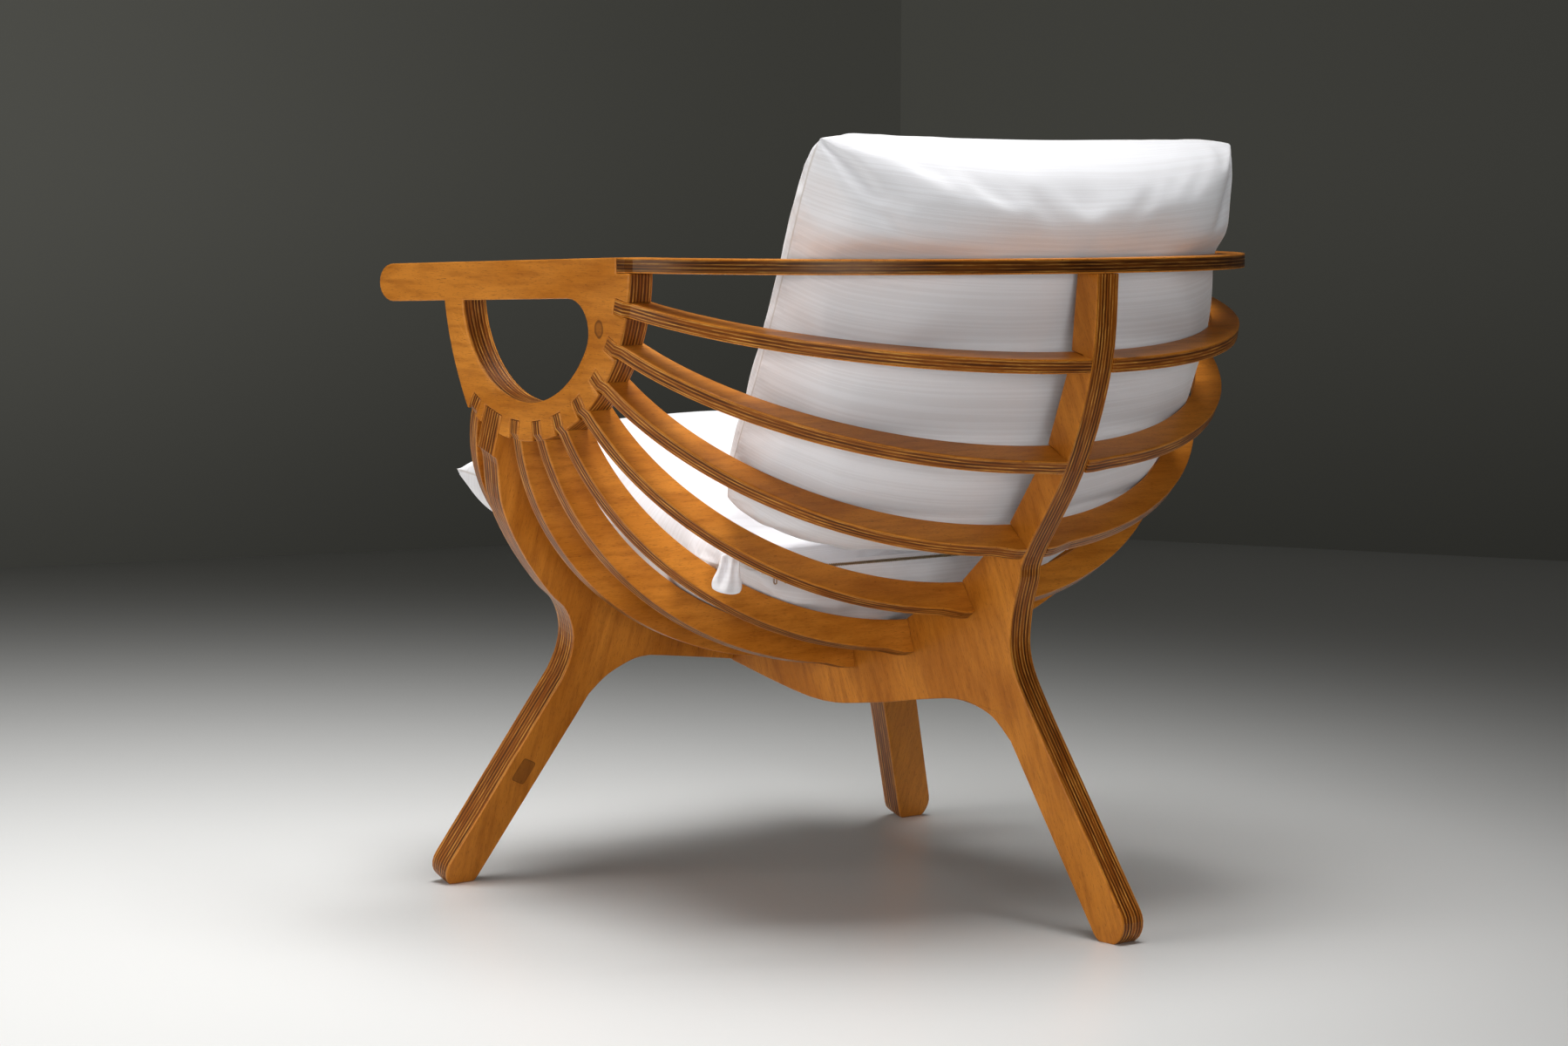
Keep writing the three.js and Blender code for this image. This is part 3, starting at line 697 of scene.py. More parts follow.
sawn_hoops = hoop_tree()
outer_lap = (hoop_inner + hoop_outer) / 2
lap_beyond = 60 * MM
cut_outside = (outer_lap, outer_lap + lap_beyond)
cut_inside = (outer_lap - lap_beyond, outer_lap)
fan_nodes = ["rib_%d" % number for number in range(4, 9)] + ["front_hoop"]
half_swell = lap_swell / 2
hoop_rows = [
    ("hoop_fan", hoop_angles[2:], 0, lap_swell, cut_outside, fan_nodes, 6, hoop_wood),
    ("rib_2_board", hoop_angles[:1], 0, 0, cut_outside, ["rib_2"], 14, hoop_wood),
    ("rib_3_board", hoop_angles[1:2], 0, half_swell, cut_outside, ["rib_3"], 15, hoop_wood),
    ("top_rail_board", [0], rail_rise, 0, cut_inside, ["top_rail"], 16, shaded_rail_wood),
]
for name, *values in hoop_rows:
    piece = hoops(name, sawn_hoops, *values)
    print(piece.name, len(piece.data.polygons), "faces")

# %% [markdown]
# ## White slubbed cotton
#
# The cover is a white cotton with level threads of uneven thickness. Cloth is told from plaster
# by three things: the threads' relief, the slubs that run a long way in one direction only,
# and the soft bright rim that loose fibres give, which is the shader's sheen. The cushions
# carry an attribute named cloth, which holds how far a point is across and up the cover, so
# the threads follow the cloth round its edges.

# %% The cloth's colours and its finish
cloth_white = (0.76, 0.76, 0.785, 1)
cloth_shade = (0.715, 0.71, 0.73, 1)
seam_dirt_and_shade_colour = (0.50, 0.45, 0.41, 1)
seam_line = 0.5 * MM
seam_line_end = 1.8 * MM
pucker_start = 2 * MM
pucker_end = 22 * MM
slub_relief = 0.18 * MM
pucker_relief = 2.5 * MM
thread_relief = 0.22 * MM
warp_relief = 0.10 * MM


def cloth_finish():
    finish = Finish("slubbed_cotton")
    cloth = finish.attribute("cloth")
    slub = finish.noise(finish.stretched(cloth, (2.5, 330, 1)), detail=1, roughness=0.5)
    thread = finish.noise(finish.stretched(cloth, (60, 1300, 1)), detail=2)
    warp = finish.noise(finish.stretched(cloth, (1300, 60, 1)), detail=2)
    cloud = finish.noise(finish.stretched(cloth, (6, 9, 1)), detail=2)
    colour = finish.mix(finish.between(slub, 0.42, 0.60), cloth_shade, cloth_white)
    colour = finish.mix(finish.between(cloud, 0.3, 0.8, 0.0, 0.35), colour, cloth_white)
    # A line along the seam is darkened and tinted: dirt, and painted shade in the seam's groove.
    from_seam = finish.split(finish.attribute("seam"))[0]
    line = finish.between(from_seam, seam_line, seam_line_end, 0.6, 0)
    colour = finish.mix(line, colour, seam_dirt_and_shade_colour)
    finish.feed(finish.shader.inputs["Base Color"], colour)
    finish.shader.inputs["Roughness"].default_value = 0.88
    finish.shader.inputs["Sheen Weight"].default_value = 0.35
    finish.shader.inputs["Sheen Roughness"].default_value = 0.45
    finish.shader.inputs["Specular IOR Level"].default_value = 0.25
    pucker = finish.noise(finish.stretched(cloth, (90, 90, 1)), detail=1)
    near_seam = finish.between(from_seam, pucker_start, pucker_end, 1, 0)
    pucker = finish.math("MULTIPLY", pucker, near_seam)
    relief = finish.bump(slub, slub_relief, 0.5)
    relief = finish.bump(pucker, pucker_relief, 0.6, relief)
    relief = finish.bump(thread, thread_relief, 0.5, relief)
    relief = finish.bump(warp, warp_relief, 0.3, relief)
    finish.feed(finish.shader.inputs["Normal"], relief)
    return finish.material


cotton = cloth_finish()
print(cotton.name, "has", len(cotton.node_tree.nodes), "nodes")

# %% [markdown]
# ## The cushions
#
# Each cushion is two panels of cloth, sewn along one edge and stuffed. A maker cuts the panels
# flat, and the stuffing does the rest. Here the two panels are a pair of grids that share their
# rim, set in a crowned form like the CAD solid's. Both cushions lie inside the fan, and the
# back cushion stands on the seat cushion, so every point is kept inside the hoops and on its
# own side of the plane where the cushions meet.

# %% Where the cushions lie, and the room that they have
cushion_gap = 1.2 * MM
spread_start = 38 * MM
over_rail_start = 9 * MM
spread_slope = 1.2  # how far the cloth may spread for each metre past the hoop or the rail
spine_reach_share = 0.985
tiny_length = 1 * MM
rest_drop = 288 * MM
rest_y = 170 * MM
seat_rear_flat = 151 * MM
seat_rear = Vector((156 * MM, -305 * MM))  # rear seam, in Y and Z from the axis
seat_front = Vector((-299 * MM, -224.5 * MM))
back_foot = Vector((180 * MM, -238 * MM))
back_head = Vector((325 * MM, 143 * MM))
seat_slope = math.atan2(seat_front.y - seat_rear.y, seat_rear.x - seat_front.x)
back_lean = math.atan2(back_head.x - back_foot.x, back_head.y - back_foot.y)
back_crown = 60 * MM
last_hoop = math.radians(hoop_angles[-1])


# %% Keep a cushion inside the hoops
def shell_limit(x):
    width = half_width - hoop_side
    depth = hoop_inner - hoop_centre
    reach = hoop_centre + depth * np.sqrt(1 - np.minimum(1, np.abs(x) / width) ** 2)
    over_spine = np.abs(x) < frame_thickness + hoop_thickness
    reach = np.where(over_spine, np.minimum(reach, hoop_inner * spine_reach_share), reach)
    return reach - cushion_gap


def held_by_shell(points):
    """Keeps points inside the hoops. Past the front hoop and over the rail they may spread."""
    x, y, z = points.T
    reach = np.hypot(y, z)
    angle = np.arctan2(-z, y)
    past_hoop = reach * (angle - last_hoop) - spread_start
    over_rail = z - rail_rise - over_rail_start
    free = np.maximum(0, np.maximum(past_hoop, over_rail))
    limit = shell_limit(x) + free * spread_slope
    share = np.minimum(1, limit / np.maximum(reach, tiny_length))
    return np.stack([x, y * share, z * share], axis=1)


def rest_height(y):
    return -rest_drop - (y - rest_y) * math.tan(seat_slope)


def turned_about_x(points, angle):
    x, y, z = points.T
    c, s = math.cos(angle), math.sin(angle)
    return np.stack([x, y * c - z * s, y * s + z * c], axis=1)


def set_down(points, angle, middle):
    """Takes a pillow from its own flat frame to its place inside the fan."""
    return turned_about_x(points, angle) + [0, middle.x, middle.y]


def keep_seat(points):
    front_foot = rest_y - (back_crown + cushion_gap) / math.cos(back_lean)
    ahead = np.maximum(0, front_foot - points[:, 1])
    ceiling = rest_height(points[:, 1]) + ahead / math.tan(back_lean) - cushion_gap / 2
    kept = points.copy()
    kept[:, 2] = np.minimum(kept[:, 2], ceiling)
    kept[:, 1] = np.minimum(kept[:, 1], seat_rear_flat)
    return held_by_shell(kept)


def keep_back(points):
    kept = points.copy()
    kept[:, 2] = np.maximum(kept[:, 2], rest_height(kept[:, 1]) + cushion_gap / 2)
    return held_by_shell(kept)


# %% [markdown]
# The pillow's form is a rule. It is highest in its middle and falls to the seam along a curve:
# a low power keeps it full to the edge, and a high one makes it a flat lens. The sides are cut
# a little hollow and the corners are cut off, because a stuffed cover pulls in there.

# %% The cut of the two panels
cushion_cells = 88
draw_in = 8 * MM
seam_depth = 4 * MM
seam_width = 5 * MM
full_power = 0.43
free_side_power = 0.58
free_head_power = 0.30
held_end_share = 0.3
free_start_share = 0.75
fullness = 1.3
corner_sharpness = 3
side_sharpness = 12
tiny_share = 0.001


def pillow_grid(size):
    """Two panels in the pillow's own frame: X across, Y up the cushion, Z out of it."""
    n = cushion_cells
    steps = np.sin(math.pi / 2 * np.linspace(-1, 1, n + 1))
    u, v = np.meshgrid(steps, steps)
    half = size["front"] + (size["rear"] - size["front"]) * (v + 1) / 2
    corner = size["corner_cut"] * (u * u * v * v) ** corner_sharpness
    side_in = draw_in * (1 - v * v) + corner
    end_in = np.where(v < 0, size["foot_in"], size["head_in"]) * (1 - u * u) + corner
    x = u * (half - side_in)
    y = v * (size["length"] / 2 - end_in)
    panels = []
    # The back cushion's belly is free above the rail: leaner at its sides, fuller at its head.
    for height, freeing in ((size["crown"], 0), (-size["belly"], size["freeing"])):
        free = (v - held_end_share) / (free_start_share - held_end_share)
        free = np.clip(free, 0, 1)
        free = freeing * free * free * (3 - 2 * free)
        side = full_power + (free_side_power - full_power) * free
        end = full_power + (free_head_power - full_power) * freeing * (v > 0)
        full = np.maximum(0, 1 - u * u) ** side * np.maximum(0, 1 - v * v) ** end
        lift = height * (1 - (1 - full) ** fullness)
        # The seam lies in a groove: the cloth beside it is drawn in, towards the middle.
        drawn = seam_depth * np.exp(-((lift / seam_width) ** 2))
        by_side = np.abs(u) ** side_sharpness
        by_end = np.abs(v) ** side_sharpness
        side_share = by_side / np.maximum(by_side + by_end, tiny_share)
        inward_x = np.sign(u) * drawn * side_share
        inward_y = np.sign(v) * drawn * (1 - side_share)
        panels.append(np.stack([x - inward_x, y - inward_y, lift], axis=2))
    return u, v, panels


# %% [markdown]
# The pillow's rim is shared by both panels, and each panel keeps its own measure of the cloth:
# how far a point is from the panel's middle, walked along the cloth. Two panels that meet at a
# seam disagree there, as real ones do, so the measure is kept on the faces' corners. The
# distance from the seam is measured in the same way, for the seam's line of dirt and painted
# shade, and for its puckers.


# %% Measure the cloth
def walked(points, direction):
    """Distance walked over the grid from its middle line, along rows (1) or columns (0)."""
    steps = np.linalg.norm(np.diff(points, axis=direction), axis=2)
    total = np.cumsum(steps, axis=direction)
    pad = [(0, 0), (0, 0)]
    pad[direction] = (1, 0)
    total = np.pad(total, pad)
    middle = np.take(total, [total.shape[direction] // 2], axis=direction)
    return total - middle


def seam_distance(panel):
    """How far each point is from the seam, walked over the panel along its row or column."""
    row_steps = np.linalg.norm(np.diff(panel, axis=1), axis=2)
    column_steps = np.linalg.norm(np.diff(panel, axis=0), axis=2)
    left = np.pad(np.cumsum(row_steps, axis=1), ((0, 0), (1, 0)))
    low = np.pad(np.cumsum(column_steps, axis=0), ((1, 0), (0, 0)))
    nearest = np.minimum(left, left[:, -1:] - left)
    return np.minimum(nearest, np.minimum(low, low[-1:] - low))


# %% [markdown]
# Stuffed cotton isn't smooth. It gathers beside its seams, folds into its corners, and has soft
# hollows between. Waves of a few lengths, with seeded phases, give each kind its own scale.

# %% Gathers, tucks and hollows
gather_reach = 55 * MM
gather_lengths = [19 * MM, 29 * MM, 43 * MM]
gather_lean = 0.25
end_gather_share = 0.8
even_share = 0.6
hollow_depth = 2.0 * MM
hollow_lengths = [150 * MM, 210 * MM]
tuck_depth = 7 * MM
tuck_width = 9 * MM
tuck_reach = 45 * MM


def waves(values, lengths, rng):
    """A sum of sines with seeded phases, between about -1 and 1."""
    total = np.zeros_like(values)
    for length in lengths:
        total += np.sin(2 * math.pi * values / length + rng.uniform(0, 2 * math.pi))
    return total / len(lengths)


def creases(u, v, panel, size, rng):
    """How far the cloth sinks: gathers at the seams, tucks at the corners, soft hollows."""
    x, y = panel[:, :, 0], panel[:, :, 1]
    from_side = size["front"] * (1 - np.abs(u))
    from_end = size["length"] / 2 * (1 - np.abs(v))
    turn = rng.uniform(-gather_lean, gather_lean)
    along_side = waves(y + turn * np.abs(x), gather_lengths, rng)
    along_end = waves(x + turn * np.abs(y), gather_lengths, rng)
    uneven = even_share + (1 - even_share) * waves(x + y, hollow_lengths, rng)
    near_side = np.exp(-from_side / gather_reach)
    near_end = np.exp(-from_end / gather_reach)
    sunk = along_side * near_side + end_gather_share * along_end * near_end
    sunk *= size["gather"] * uneven
    sunk += hollow_depth * waves(x, hollow_lengths, rng) * waves(y, hollow_lengths, rng)
    off_diagonal = np.abs(from_side - from_end)
    from_corner = np.hypot(from_side, from_end)
    tuck = np.exp(-((off_diagonal / tuck_width) ** 2)) * np.exp(-from_corner / tuck_reach)
    tuck *= 1 - np.exp(-from_corner / tuck_width)
    return sunk + tuck_depth * tuck


# %% [markdown]
# The stuffing is what makes a cushion look like one, and Blender's cloth can do its work: a
# pressure inside pushes the cover out, the seam is held, and the cloth has a little spare. How
# far a point may move is capped, so the cushion keeps the room that the chair gives it. The
# result is read from the evaluated mesh, and the modifier is removed.

# %% Let the stuffing fill the cover
settled_frames = 18
tiny_move = 0.001 * MM


def relaxed(points, mesh, rounds, held):
    """Moves each free point halfway to the middle of its neighbours, several times."""
    edges = np.array([e.vertices for e in mesh.edges])
    count = np.bincount(edges.ravel(), minlength=len(points))[:, None]
    for _ in range(rounds):
        total = np.zeros_like(points)
        np.add.at(total, edges[:, 0], points[edges[:, 1]])
        np.add.at(total, edges[:, 1], points[edges[:, 0]])
        points = np.where(held[:, None], points, 0.5 * points + 0.5 * total / count)
    return points


def inflated(piece, seam, pressure, spare, cap):
    """Lets the stuffing fill the cover: Blender's cloth, sewn fast at its seam."""
    before = points_of(piece.data)
    group = piece.vertex_groups.new(name="seam")
    group.add([int(i) for i in np.flatnonzero(seam)], 1.0, "REPLACE")
    cloth = piece.modifiers.new("cloth", "CLOTH")
    settings = cloth.settings
    settings.quality = 6
    settings.mass = 0.25
    settings.tension_stiffness = 12
    settings.compression_stiffness = 6
    settings.shear_stiffness = 4
    settings.bending_stiffness = 0.25
    settings.air_damping = 3
    settings.use_pressure = True
    settings.uniform_pressure_force = pressure
    settings.shrink_min = -spare
    settings.shrink_max = -spare
    settings.vertex_group_mass = "seam"
    settings.effector_weights.gravity = 0
    cloth.point_cache.frame_start = 1
    cloth.point_cache.frame_end = settled_frames
    for number in range(1, settled_frames + 1):
        bpy.context.scene.frame_set(number)
    evaluated = piece.evaluated_get(bpy.context.evaluated_depsgraph_get())
    after = points_of(evaluated.data)
    piece.modifiers.remove(cloth)
    piece.vertex_groups.remove(group)
    bpy.context.scene.frame_set(1)
    move = after - before
    length = np.linalg.norm(move, axis=1, keepdims=True)
    move *= np.minimum(1, cap / np.maximum(length, tiny_move))
    print(piece.name, "moved up to", round(float(length.max()) / MM, 1), "mm")
    return before + move


# %% Sew two panels into one closed cover
rounds_before = 10
rounds_after = 2
cushion_pressure = 2.0
cushion_spare = 0.012
cushion_swell = 6 * MM


def sewn_panels(cells):
    """Numbers the points of two square panels that share their rim."""
    row = cells + 1
    rim = np.ones((row, row), dtype=bool)
    rim[1:-1, 1:-1] = False
    numbers = np.arange(2 * row * row).reshape(2, row, row)
    numbers[1][rim] = numbers[0][rim]
    used, compact = np.unique(numbers, return_inverse=True)
    return used, compact.reshape(2, row, row), rim


def panel_cells(cells):
    """The four grid corners of each face, first of the one panel and then of the other."""
    for skin in (0, 1):
        for j in range(cells):
            for i in range(cells):
                quad = [(j, i), (j, i + 1), (j + 1, i + 1), (j + 1, i)]
                yield skin, quad if skin == 0 else quad[::-1]


def pillow(name, size, angle, middle, keep, seed):
    rng = np.random.default_rng(seed)
    u, v, panels = pillow_grid(size)
    cloth = []
    for panel in panels:
        up = walked(panel, 0)[:, [cushion_cells // 2]]
        up = np.repeat(up, cushion_cells + 1, axis=1)
        cloth.append(np.stack([walked(panel, 1), up], axis=2))
    sunk = []
    for panel, out in zip(panels, (1, -1)):
        lowered = panel.copy()
        lowered[:, :, 2] -= out * creases(u, v, panel, size, rng)
        sunk.append(lowered.reshape(-1, 3))
    used, numbers, rim = sewn_panels(cushion_cells)
    flat = np.concatenate(sunk)[used]
    held = np.zeros(len(used), dtype=bool)
    held[numbers[0][rim]] = True
    flat[held, 2] = 0
    points = keep(set_down(flat, angle, middle))
    faces = []
    corners = []
    for skin, quad in panel_cells(cushion_cells):
        faces.append([int(numbers[skin][c]) for c in quad])
        corners += [(*cloth[skin][c], skin + seed) for c in quad]
    mesh = bpy.data.meshes.new(name)
    mesh.from_pydata((points + np.array(axis)).tolist(), [], faces)
    write_attribute(mesh, "cloth", corners, "CORNER")
    from_seam = np.concatenate([seam_distance(panel).ravel() for panel in panels])[used]
    from_seam[held] = 0
    write_attribute(mesh, "seam", np.stack([from_seam, from_seam * 0, from_seam * 0], axis=1))
    piece = new_piece(name, mesh, cotton)
    points = relaxed(points_of(mesh), mesh, rounds_before, held)
    mesh.vertices.foreach_set("co", points.ravel())
    points = inflated(piece, held, cushion_pressure, cushion_spare, cushion_swell)
    points = keep(points - np.array(axis)) + np.array(axis)
    points = relaxed(points, mesh, rounds_after, held)
    mesh.vertices.foreach_set("co", points.ravel())
    mesh.shade_smooth()
    subdivision = piece.modifiers.new("smooth", "SUBSURF")
    subdivision.levels = 1
    subdivision.render_levels = 1
    return piece


# %% The two cushions
seat_size = {
    "front": 284 * MM,
    "rear": 258 * MM,
    "length": (seat_rear - seat_front).length,
    "crown": 76 * MM,
    "belly": 116 * MM,
    "foot_in": draw_in,
    "head_in": 0,
    "freeing": 0,
    "gather": 3.2 * MM,
    "corner_cut": 3 * MM,
}
back_size = {
    "front": 304 * MM,
    "rear": 300 * MM,
    "length": (back_head - back_foot).length,
    "crown": back_crown,
    "belly": 106 * MM,
    "foot_in": -62 * MM,
    "head_in": 10 * MM,
    "freeing": 1,
    "gather": 1.8 * MM,
    "corner_cut": 13 * MM,
}
seat_middle = (seat_rear + seat_front) / 2
back_middle = (back_foot + back_head) / 2
seat_pillow = pillow("seat_pillow", seat_size, -seat_slope, seat_middle, keep_seat, 3)
back_turn = math.pi / 2 - back_lean
back_pillow = pillow("back_pillow", back_size, back_turn, back_middle, keep_back, 8)
for pillow_piece, body, node in (
    (seat_pillow, "seat", "seat_cushion"),
    (back_pillow, "back", "back_cushion"),
):
    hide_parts(node)
    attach(pillow_piece, body)
    print(pillow_piece.name, len(pillow_piece.data.polygons), "faces")

# %% [markdown]
# A loose corner of the seat cushion's cover hangs out between two hoops, beside the zip. It is
# a small pocket of cloth with little inside: a disc of cloth on either side, closer together
# towards the rim, and folded where it comes out of the cushion.

# %% The loose corner of the cover
ear_middle = Vector((264 * MM, 156 * MM, -305 * MM))
ear_along = Vector((0.25, 0.10, -0.96)).normalized()
ear_facing = Vector((0.62, 0.77, 0.10)).normalized()
ear_half_length = 21 * MM
ear_half_width = 14 * MM
ear_half_thickness = 5 * MM
ear_bend = 6 * MM
ear_crease = 1.8 * MM
ear_fold = 2.6 * MM
ear_square_share = 0.35
ear_pinch_share = 0.75
ear_twist_share = 0.6
ear_crease_waves = (5, 2)
ear_fold_waves = (8, 2.5, 1)
ear_width_shares = (0.98, 0.16, -0.14)
ear_neck_waves = (3.2, 0.9)
ear_cells = 24


def ear_skins():
    """The two discs of cloth, as grids of places from the fan's axis."""
    steps = np.linspace(-1, 1, ear_cells + 1)
    u, v = np.meshgrid(steps, steps)
    # A square grid becomes a disc whose rim is the square's. The ear is partly square.
    disc_u = u * np.sqrt(1 - v * v / 2)
    disc_v = v * np.sqrt(1 - u * u / 2)
    p = ear_square_share * u + (1 - ear_square_share) * disc_u
    q = ear_square_share * v + (1 - ear_square_share) * disc_v
    full = np.sqrt(np.maximum(0, 1 - disc_u**2 - disc_v**2))
    # The folds are deepest where the cloth is pinched, and die out towards the free end.
    pinch = np.clip(ear_pinch_share * (1 - q), 0, 1)
    crease = np.sin(ear_crease_waves[0] * p + ear_crease_waves[1] * q)
    fold = np.sin(ear_fold_waves[0] * p + ear_fold_waves[1] * q * p + ear_fold_waves[2])
    bent = ear_bend * (q * q - ear_twist_share * p * q)
    bent = bent + ear_crease * crease + ear_fold * pinch * fold
    neck = np.cos(ear_neck_waves[0] * q + ear_neck_waves[1])
    even, wider, necked = ear_width_shares
    wide = ear_half_width * (even + wider * q + necked * neck)
    across = ear_facing.cross(ear_along).normalized()
    facing = ear_along.cross(across).normalized()
    flat = (p * wide)[:, :, None] * np.array(across)
    flat = flat + (q * ear_half_length)[:, :, None] * np.array(ear_along)
    skins = []
    for out in (-1, 1):
        height = bent + out * ear_half_thickness * full
        skins.append(flat + height[:, :, None] * np.array(facing))
    return skins


def cover_ear():
    used, numbers, _ = sewn_panels(ear_cells)
    skins = [skin.reshape(-1, 3) for skin in ear_skins()]
    places = np.concatenate(skins)[used] + np.array(ear_middle + axis)
    faces = []
    for skin, quad in panel_cells(ear_cells):
        faces.append([int(numbers[skin][c]) for c in quad])
    mesh = bpy.data.meshes.new("seat_cover_ear")
    mesh.from_pydata(places.tolist(), [], faces)
    write_attribute(mesh, "cloth", places[:, [0, 2, 1]])
    write_attribute(mesh, "seam", np.ones((len(places), 3)))
    mesh.shade_smooth()
    return new_piece("seat_cover_ear", mesh, cotton)


cover_corner = cover_ear()
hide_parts("seat_cushion")
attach(cover_corner, "seat")
print(cover_corner.name, len(cover_corner.data.polygons), "faces")

# %% [markdown]
# ## The zip's metal
#
# The sliders and their pulls are cast and have worn to a dull brass. Their CAD solids have the
# right shape already, so they only get a finish: two tones of brass in small clouds, with the
# bright places a little rougher.

# %% Dull brass
brass_dark = (0.46, 0.38, 0.24, 1)
brass_bright = (0.62, 0.54, 0.38, 1)


def brass_finish():
    finish = Finish("dull_brass")
    place = finish.node("ShaderNodeTexCoord").outputs["Object"]
    cloud = finish.noise(finish.stretched(place, (900, 900, 900)), detail=3)
    colour = finish.mix(finish.between(cloud, 0.35, 0.7), brass_dark, brass_bright)
    rough = finish.between(cloud, 0.3, 0.7, 0.28, 0.44)
    finish.feed(finish.shader.inputs["Base Color"], colour)
    finish.feed(finish.shader.inputs["Roughness"], rough)
    finish.shader.inputs["Metallic"].default_value = 1.0
    return finish.material


brass = brass_finish()
for node in ("zip_slider_outer", "zip_slider_inner", "zip_pull_outer", "zip_pull_inner"):
    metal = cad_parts[node]
    metal.data.materials.clear()
    metal.data.materials.append(brass)
    print(node, len(metal.data.polygons), "faces")

# %% [markdown]
# The tape and the teeth are made anew, because the CAD solid has them as one plain row. A tooth
# is a small block. The tree sets one every 1.5 mm along a line, each a little above or below
# the last one, as closed teeth stand.

# %% The zip's tape
zip_half_length = 218 * MM
zip_height = -305 * MM
tape_face = 152.5 * MM
tape_half_height = 5.5 * MM
tape_depth = 1.2 * MM
tape_bevel = 0.6 * MM
tape_ridge_half = 1.8 * MM
tape_wave = 0.25 * MM
tape_wave_length = 31 * MM
tape_side_share = 0.7
tape_ridge_share = 1.25
tape_steps = 60


def tape_mesh():
    """A strip with rounded edges and a low ridge in its middle, drawn as one section."""
    half = tape_half_height
    section = [(-half, 0), (-half, tape_side_share), (-half + tape_bevel, 1)]
    section += [(-tape_ridge_half, 1), (0, tape_ridge_share)]
    section += [(-z, depth) for z, depth in section[-2::-1]]
    points = []
    for x in np.linspace(-zip_half_length, zip_half_length, tape_steps + 1):
        wave = tape_wave * math.sin(x / tape_wave_length)
        for z, depth in section:
            y = tape_face - tape_depth + depth * tape_depth
            points.append((x, y + AXIS_Y, z + wave + zip_height + AXIS_Z))
    row = len(section)
    faces = []
    for i in range(tape_steps):
        for j in range(row):
            k = (j + 1) % row
            faces.append((i * row + j, i * row + k, (i + 1) * row + k, (i + 1) * row + j))
    faces.append(tuple(reversed(range(row))))
    faces.append(tuple(range(tape_steps * row, (tape_steps + 1) * row)))
    mesh = bpy.data.meshes.new("zip_tape")
    mesh.from_pydata(points, [], faces)
    cloth = [(p[0], p[2], 0) for p in points]
    write_attribute(mesh, "cloth", cloth)
    write_attribute(mesh, "seam", [(1, 0, 0) for _ in points])
    smooth_by_angle(mesh)
    return mesh


# %% The zip's teeth
tooth_pitch = 1.5 * MM
tooth_size = (0.9 * MM, 1.5 * MM, 2.9 * MM)
tooth_step = 0.35 * MM
teeth_end_gap = 4 * MM


def teeth_tree():
    tree = Tree("zip_teeth")
    pitch = tree.size("Pitch", tooth_pitch)
    step = tree.size("Step", tooth_step)
    line = tree.node("GeometryNodeMeshToCurve", tree.inputs.outputs["Geometry"])
    by_length = {"mode": "LENGTH"}
    spaced = tree.node("GeometryNodeResampleCurve", line.outputs[0], settings=by_length)
    tree.feed(spaced.inputs["Length"], pitch)
    as_spaced = {"mode": "EVALUATED"}
    points = tree.node("GeometryNodeCurveToPoints", spaced.outputs[0], settings=as_spaced)
    index = tree.node("GeometryNodeInputIndex").outputs[0]
    odd = tree.math("MODULO", index, 2.0)
    side = tree.math("MULTIPLY_ADD", odd, 2.0, -1.0)
    shift = tree.node("ShaderNodeCombineXYZ", 0.0, 0.0, tree.math("MULTIPLY", side, step))
    moved = tree.node("GeometryNodeSetPosition", points.outputs[0], Offset=shift.outputs[0])
    size = tree.node("ShaderNodeCombineXYZ", *tooth_size)
    tooth = tree.node("GeometryNodeMeshCube", size.outputs[0])
    copies = tree.node(
        "GeometryNodeInstanceOnPoints", moved.outputs[0], Instance=tooth.outputs[0]
    )
    tree.finish(copies.outputs[0], brass)
    return tree


def teeth_line():
    line = bpy.data.meshes.new("zip_line")
    end = zip_half_length - teeth_end_gap
    y = tape_face + AXIS_Y + tooth_size[1] / 4
    points = [(side * end, y, zip_height + AXIS_Z) for side in (-1, 1)]
    line.from_pydata(points, [(0, 1)], [])
    return line


zip_tape = new_piece("zip_tape", tape_mesh(), cotton)
zip_teeth = new_piece("zip_teeth", grow(teeth_tree(), teeth_line(), {}, brass), brass)
for piece in (zip_tape, zip_teeth):
    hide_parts("seat_zip")
    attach(piece, "seat")
    print(piece.name, len(piece.data.polygons), "faces")

# %% [markdown]
# ## Floor and walls
#
# The chair stands on a plain pale floor, in front of a dim corner of a room. The floor and the
# two walls are one face each. They are staging and no part of the chair. A camera that looks at
# the chair from behind a wall or from under the floor sees through them, because their backs
# are clear.

# %% The places of the floor and the walls, in metres
wall_corner = (0.252, 7.99)  # to the camera's right, and ahead of it
wall_left = (-1.787, -0.89)  # which way the left wall runs from the corner
wall_right = (1.33, -0.67)
wall_run = 3.0  # how many of those steps a wall is long
wall_height = 4.0
floor_behind = 3.0  # how far the floor reaches behind the camera


def on_floor(right, ahead):
    """A place on the floor, given as the camera sees it."""
    turn = Matrix.Rotation(camera_pan, 3, "Z")
    return turn @ Vector((right, ahead, 0)) + Vector((camera_place.x, camera_place.y, 0))


def stage_piece(name, corners, material):
    mesh = bpy.data.meshes.new(name)
    mesh.from_pydata(corners, [], [tuple(range(len(corners)))])
    piece = new_piece(name, mesh, material)
    return piece


# %% The finish of the floor and the walls
floor_dull = (0.73, 0.73, 0.72, 1)
floor_bright = (0.76, 0.76, 0.75, 1)
wall_paint = (0.02, 0.02, 0.018, 1)
# Painted light: the walls glow, in place of the light that would fall on them.
painted_wall_light = {
    "left": ((0.036, 0.036, 0.03096, 1), (0.072, 0.072, 0.06336, 1)),
    "right": ((0.044, 0.044, 0.03784, 1), (0.032, 0.032, 0.02816, 1)),
}
glow_reach = 2.6
glow_low = -0.3
glow_high = 0.9
least_glow_share = 0.45


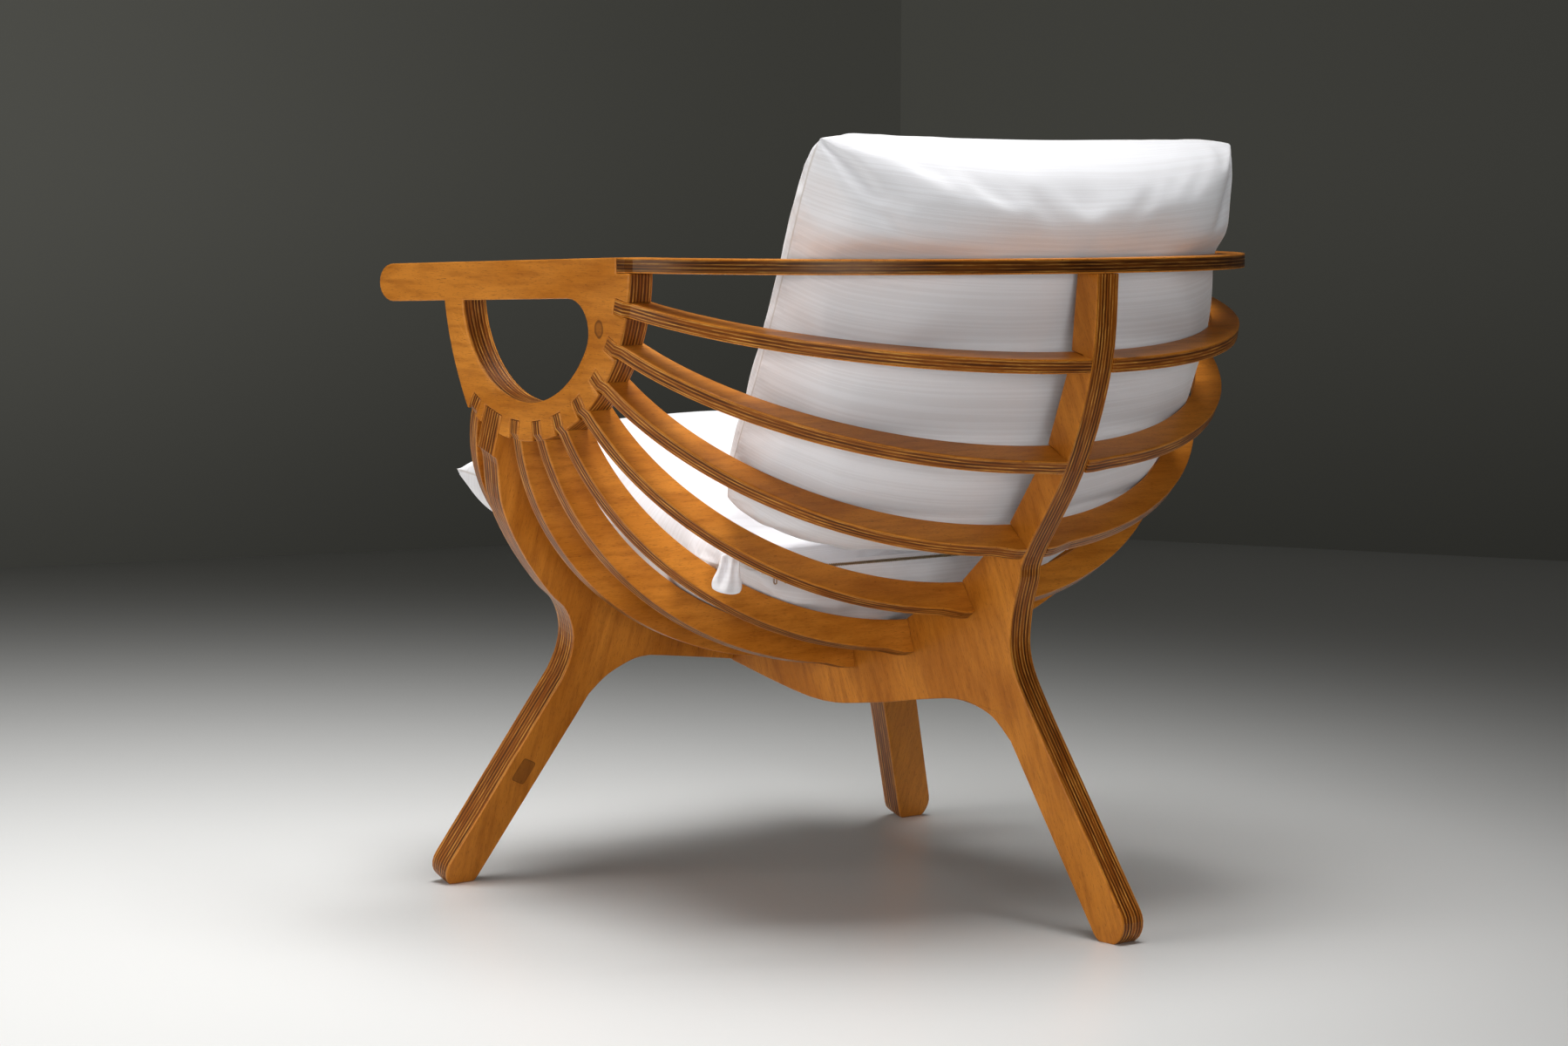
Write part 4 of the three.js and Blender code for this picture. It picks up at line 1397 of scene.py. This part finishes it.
def one_sided(finish):
    """Lets a camera see through the back of a stage piece, from below or from behind."""
    clear = finish.node("ShaderNodeBsdfTransparent")
    facing = finish.node("ShaderNodeNewGeometry").outputs["Backfacing"]
    either = finish.node("ShaderNodeMixShader")
    finish.feed(either.inputs[0], facing)
    finish.feed(either.inputs[1], finish.shader.outputs[0])
    finish.feed(either.inputs[2], clear.outputs[0])
    finish.feed(finish.tree.nodes["Material Output"].inputs["Surface"], either.outputs[0])
    return finish.material


def floor_finish():
    finish = Finish("pale_floor")
    place = finish.node("ShaderNodeTexCoord").outputs["Object"]
    cloud = finish.noise(finish.stretched(place, (0.5, 0.5, 0.5)), detail=0)
    colour = finish.mix(finish.between(cloud, 0.2, 0.8), floor_dull, floor_bright)
    finish.feed(finish.shader.inputs["Base Color"], colour)
    finish.shader.inputs["Roughness"].default_value = 0.32
    finish.shader.inputs["Specular IOR Level"].default_value = 0.30
    return one_sided(finish)


def wall_finish(name, near_colour, far_colour, along):
    """A dim wall with painted light: a glow that changes along the wall and fades near the floor.
    """
    finish = Finish(name)
    place = finish.node("ShaderNodeTexCoord").outputs["Object"]
    away = finish.node("ShaderNodeVectorMath", operation="DOT_PRODUCT")
    finish.feed(away.inputs[0], place)
    away.inputs[1].default_value = along
    start = along.dot(on_floor(*wall_corner))
    share = finish.between(away.outputs["Value"], start, start + glow_reach)
    height = finish.split(place)[2]
    colour = finish.mix(share, near_colour, far_colour)
    glow = finish.between(height, glow_low, glow_high, least_glow_share, 1.0)
    finish.feed(finish.shader.inputs["Emission Color"], colour)
    finish.feed(finish.shader.inputs["Emission Strength"], glow)
    finish.shader.inputs["Base Color"].default_value = wall_paint
    finish.shader.inputs["Roughness"].default_value = 0.9
    finish.shader.inputs["Specular IOR Level"].default_value = 0.0
    return one_sided(finish)


# %% Add the floor and the walls
def wall_end(way):
    return (wall_corner[0] + way[0] * wall_run, wall_corner[1] + way[1] * wall_run)


def add_room():
    left = wall_end(wall_left)
    right = wall_end(wall_right)
    floor = [wall_corner, left, (left[0], -floor_behind), (right[0], -floor_behind), right]
    stage_piece("floor", [on_floor(*place) for place in floor], floor_finish())
    up = Vector((0, 0, wall_height))
    near = on_floor(*wall_corner)
    for side, end in (("left", left), ("right", right)):
        far = on_floor(*end)
        finish = wall_finish(side + "_wall", *painted_wall_light[side], (far - near).normalized())
        corners = [near, far, far + up, near + up]
        if side == "left":
            corners.reverse()
        stage_piece(side + "_wall", corners, finish)


add_room()

# %% [markdown]
# ## Light
#
# One soft light hangs above the chair, so the rail and the hoops throw their shadows on the
# cushion, and the chair's own shadow lies under it. Two weaker lights fill the side that faces
# the camera. A dim grey world keeps the shadows from going black.

# %% Three soft lights
key_light = {
    "place": (0.30, 0.10, 2.9),
    "aim": (0.95, -0.25, 0.0),
    "size": (1.8, 1.6),
    "power": 37,
    "colour": (1, 1, 1),
    "spread": 92,
}
fill_light = {
    "place": (3.0, -0.9, 1.0),
    "aim": (0, -0.1, 0.55),
    "size": (1.6, 1.2),
    "power": 11,
    "colour": (1, 0.98, 0.95),
    "spread": 100,
}
back_fill_light = {
    "place": (2.5, 4.1, 0.9),
    "aim": (0, 0.2, 0.55),
    "size": (2.0, 1.4),
    "power": 14,
    "colour": (1, 1, 1),
    "spread": 75,
}


def add_light(name, values):
    data = bpy.data.lights.new(name, "AREA")
    data.shape = "RECTANGLE"
    data.size, data.size_y = values["size"]
    data.energy = values["power"]
    data.color = values["colour"]
    data.spread = math.radians(values["spread"])
    light = bpy.data.objects.new(name, data)
    light.location = values["place"]
    way = Vector(values["aim"]) - Vector(values["place"])
    light.rotation_euler = way.to_track_quat("-Z", "Y").to_euler()
    bpy.context.scene.collection.objects.link(light)
    print(name, "light,", values["power"], "W")


add_light("key", key_light)
add_light("fill", fill_light)
add_light("back_fill", back_fill_light)

# %% A dim world
world = bpy.data.worlds.new("studio")
world.use_nodes = True
world.node_tree.nodes["Background"].inputs["Color"].default_value = (0.030, 0.030, 0.028, 1)
world.node_tree.nodes["Background"].inputs["Strength"].default_value = 1.0
bpy.context.scene.world = world
bpy.context.scene.view_settings.view_transform = "Standard"
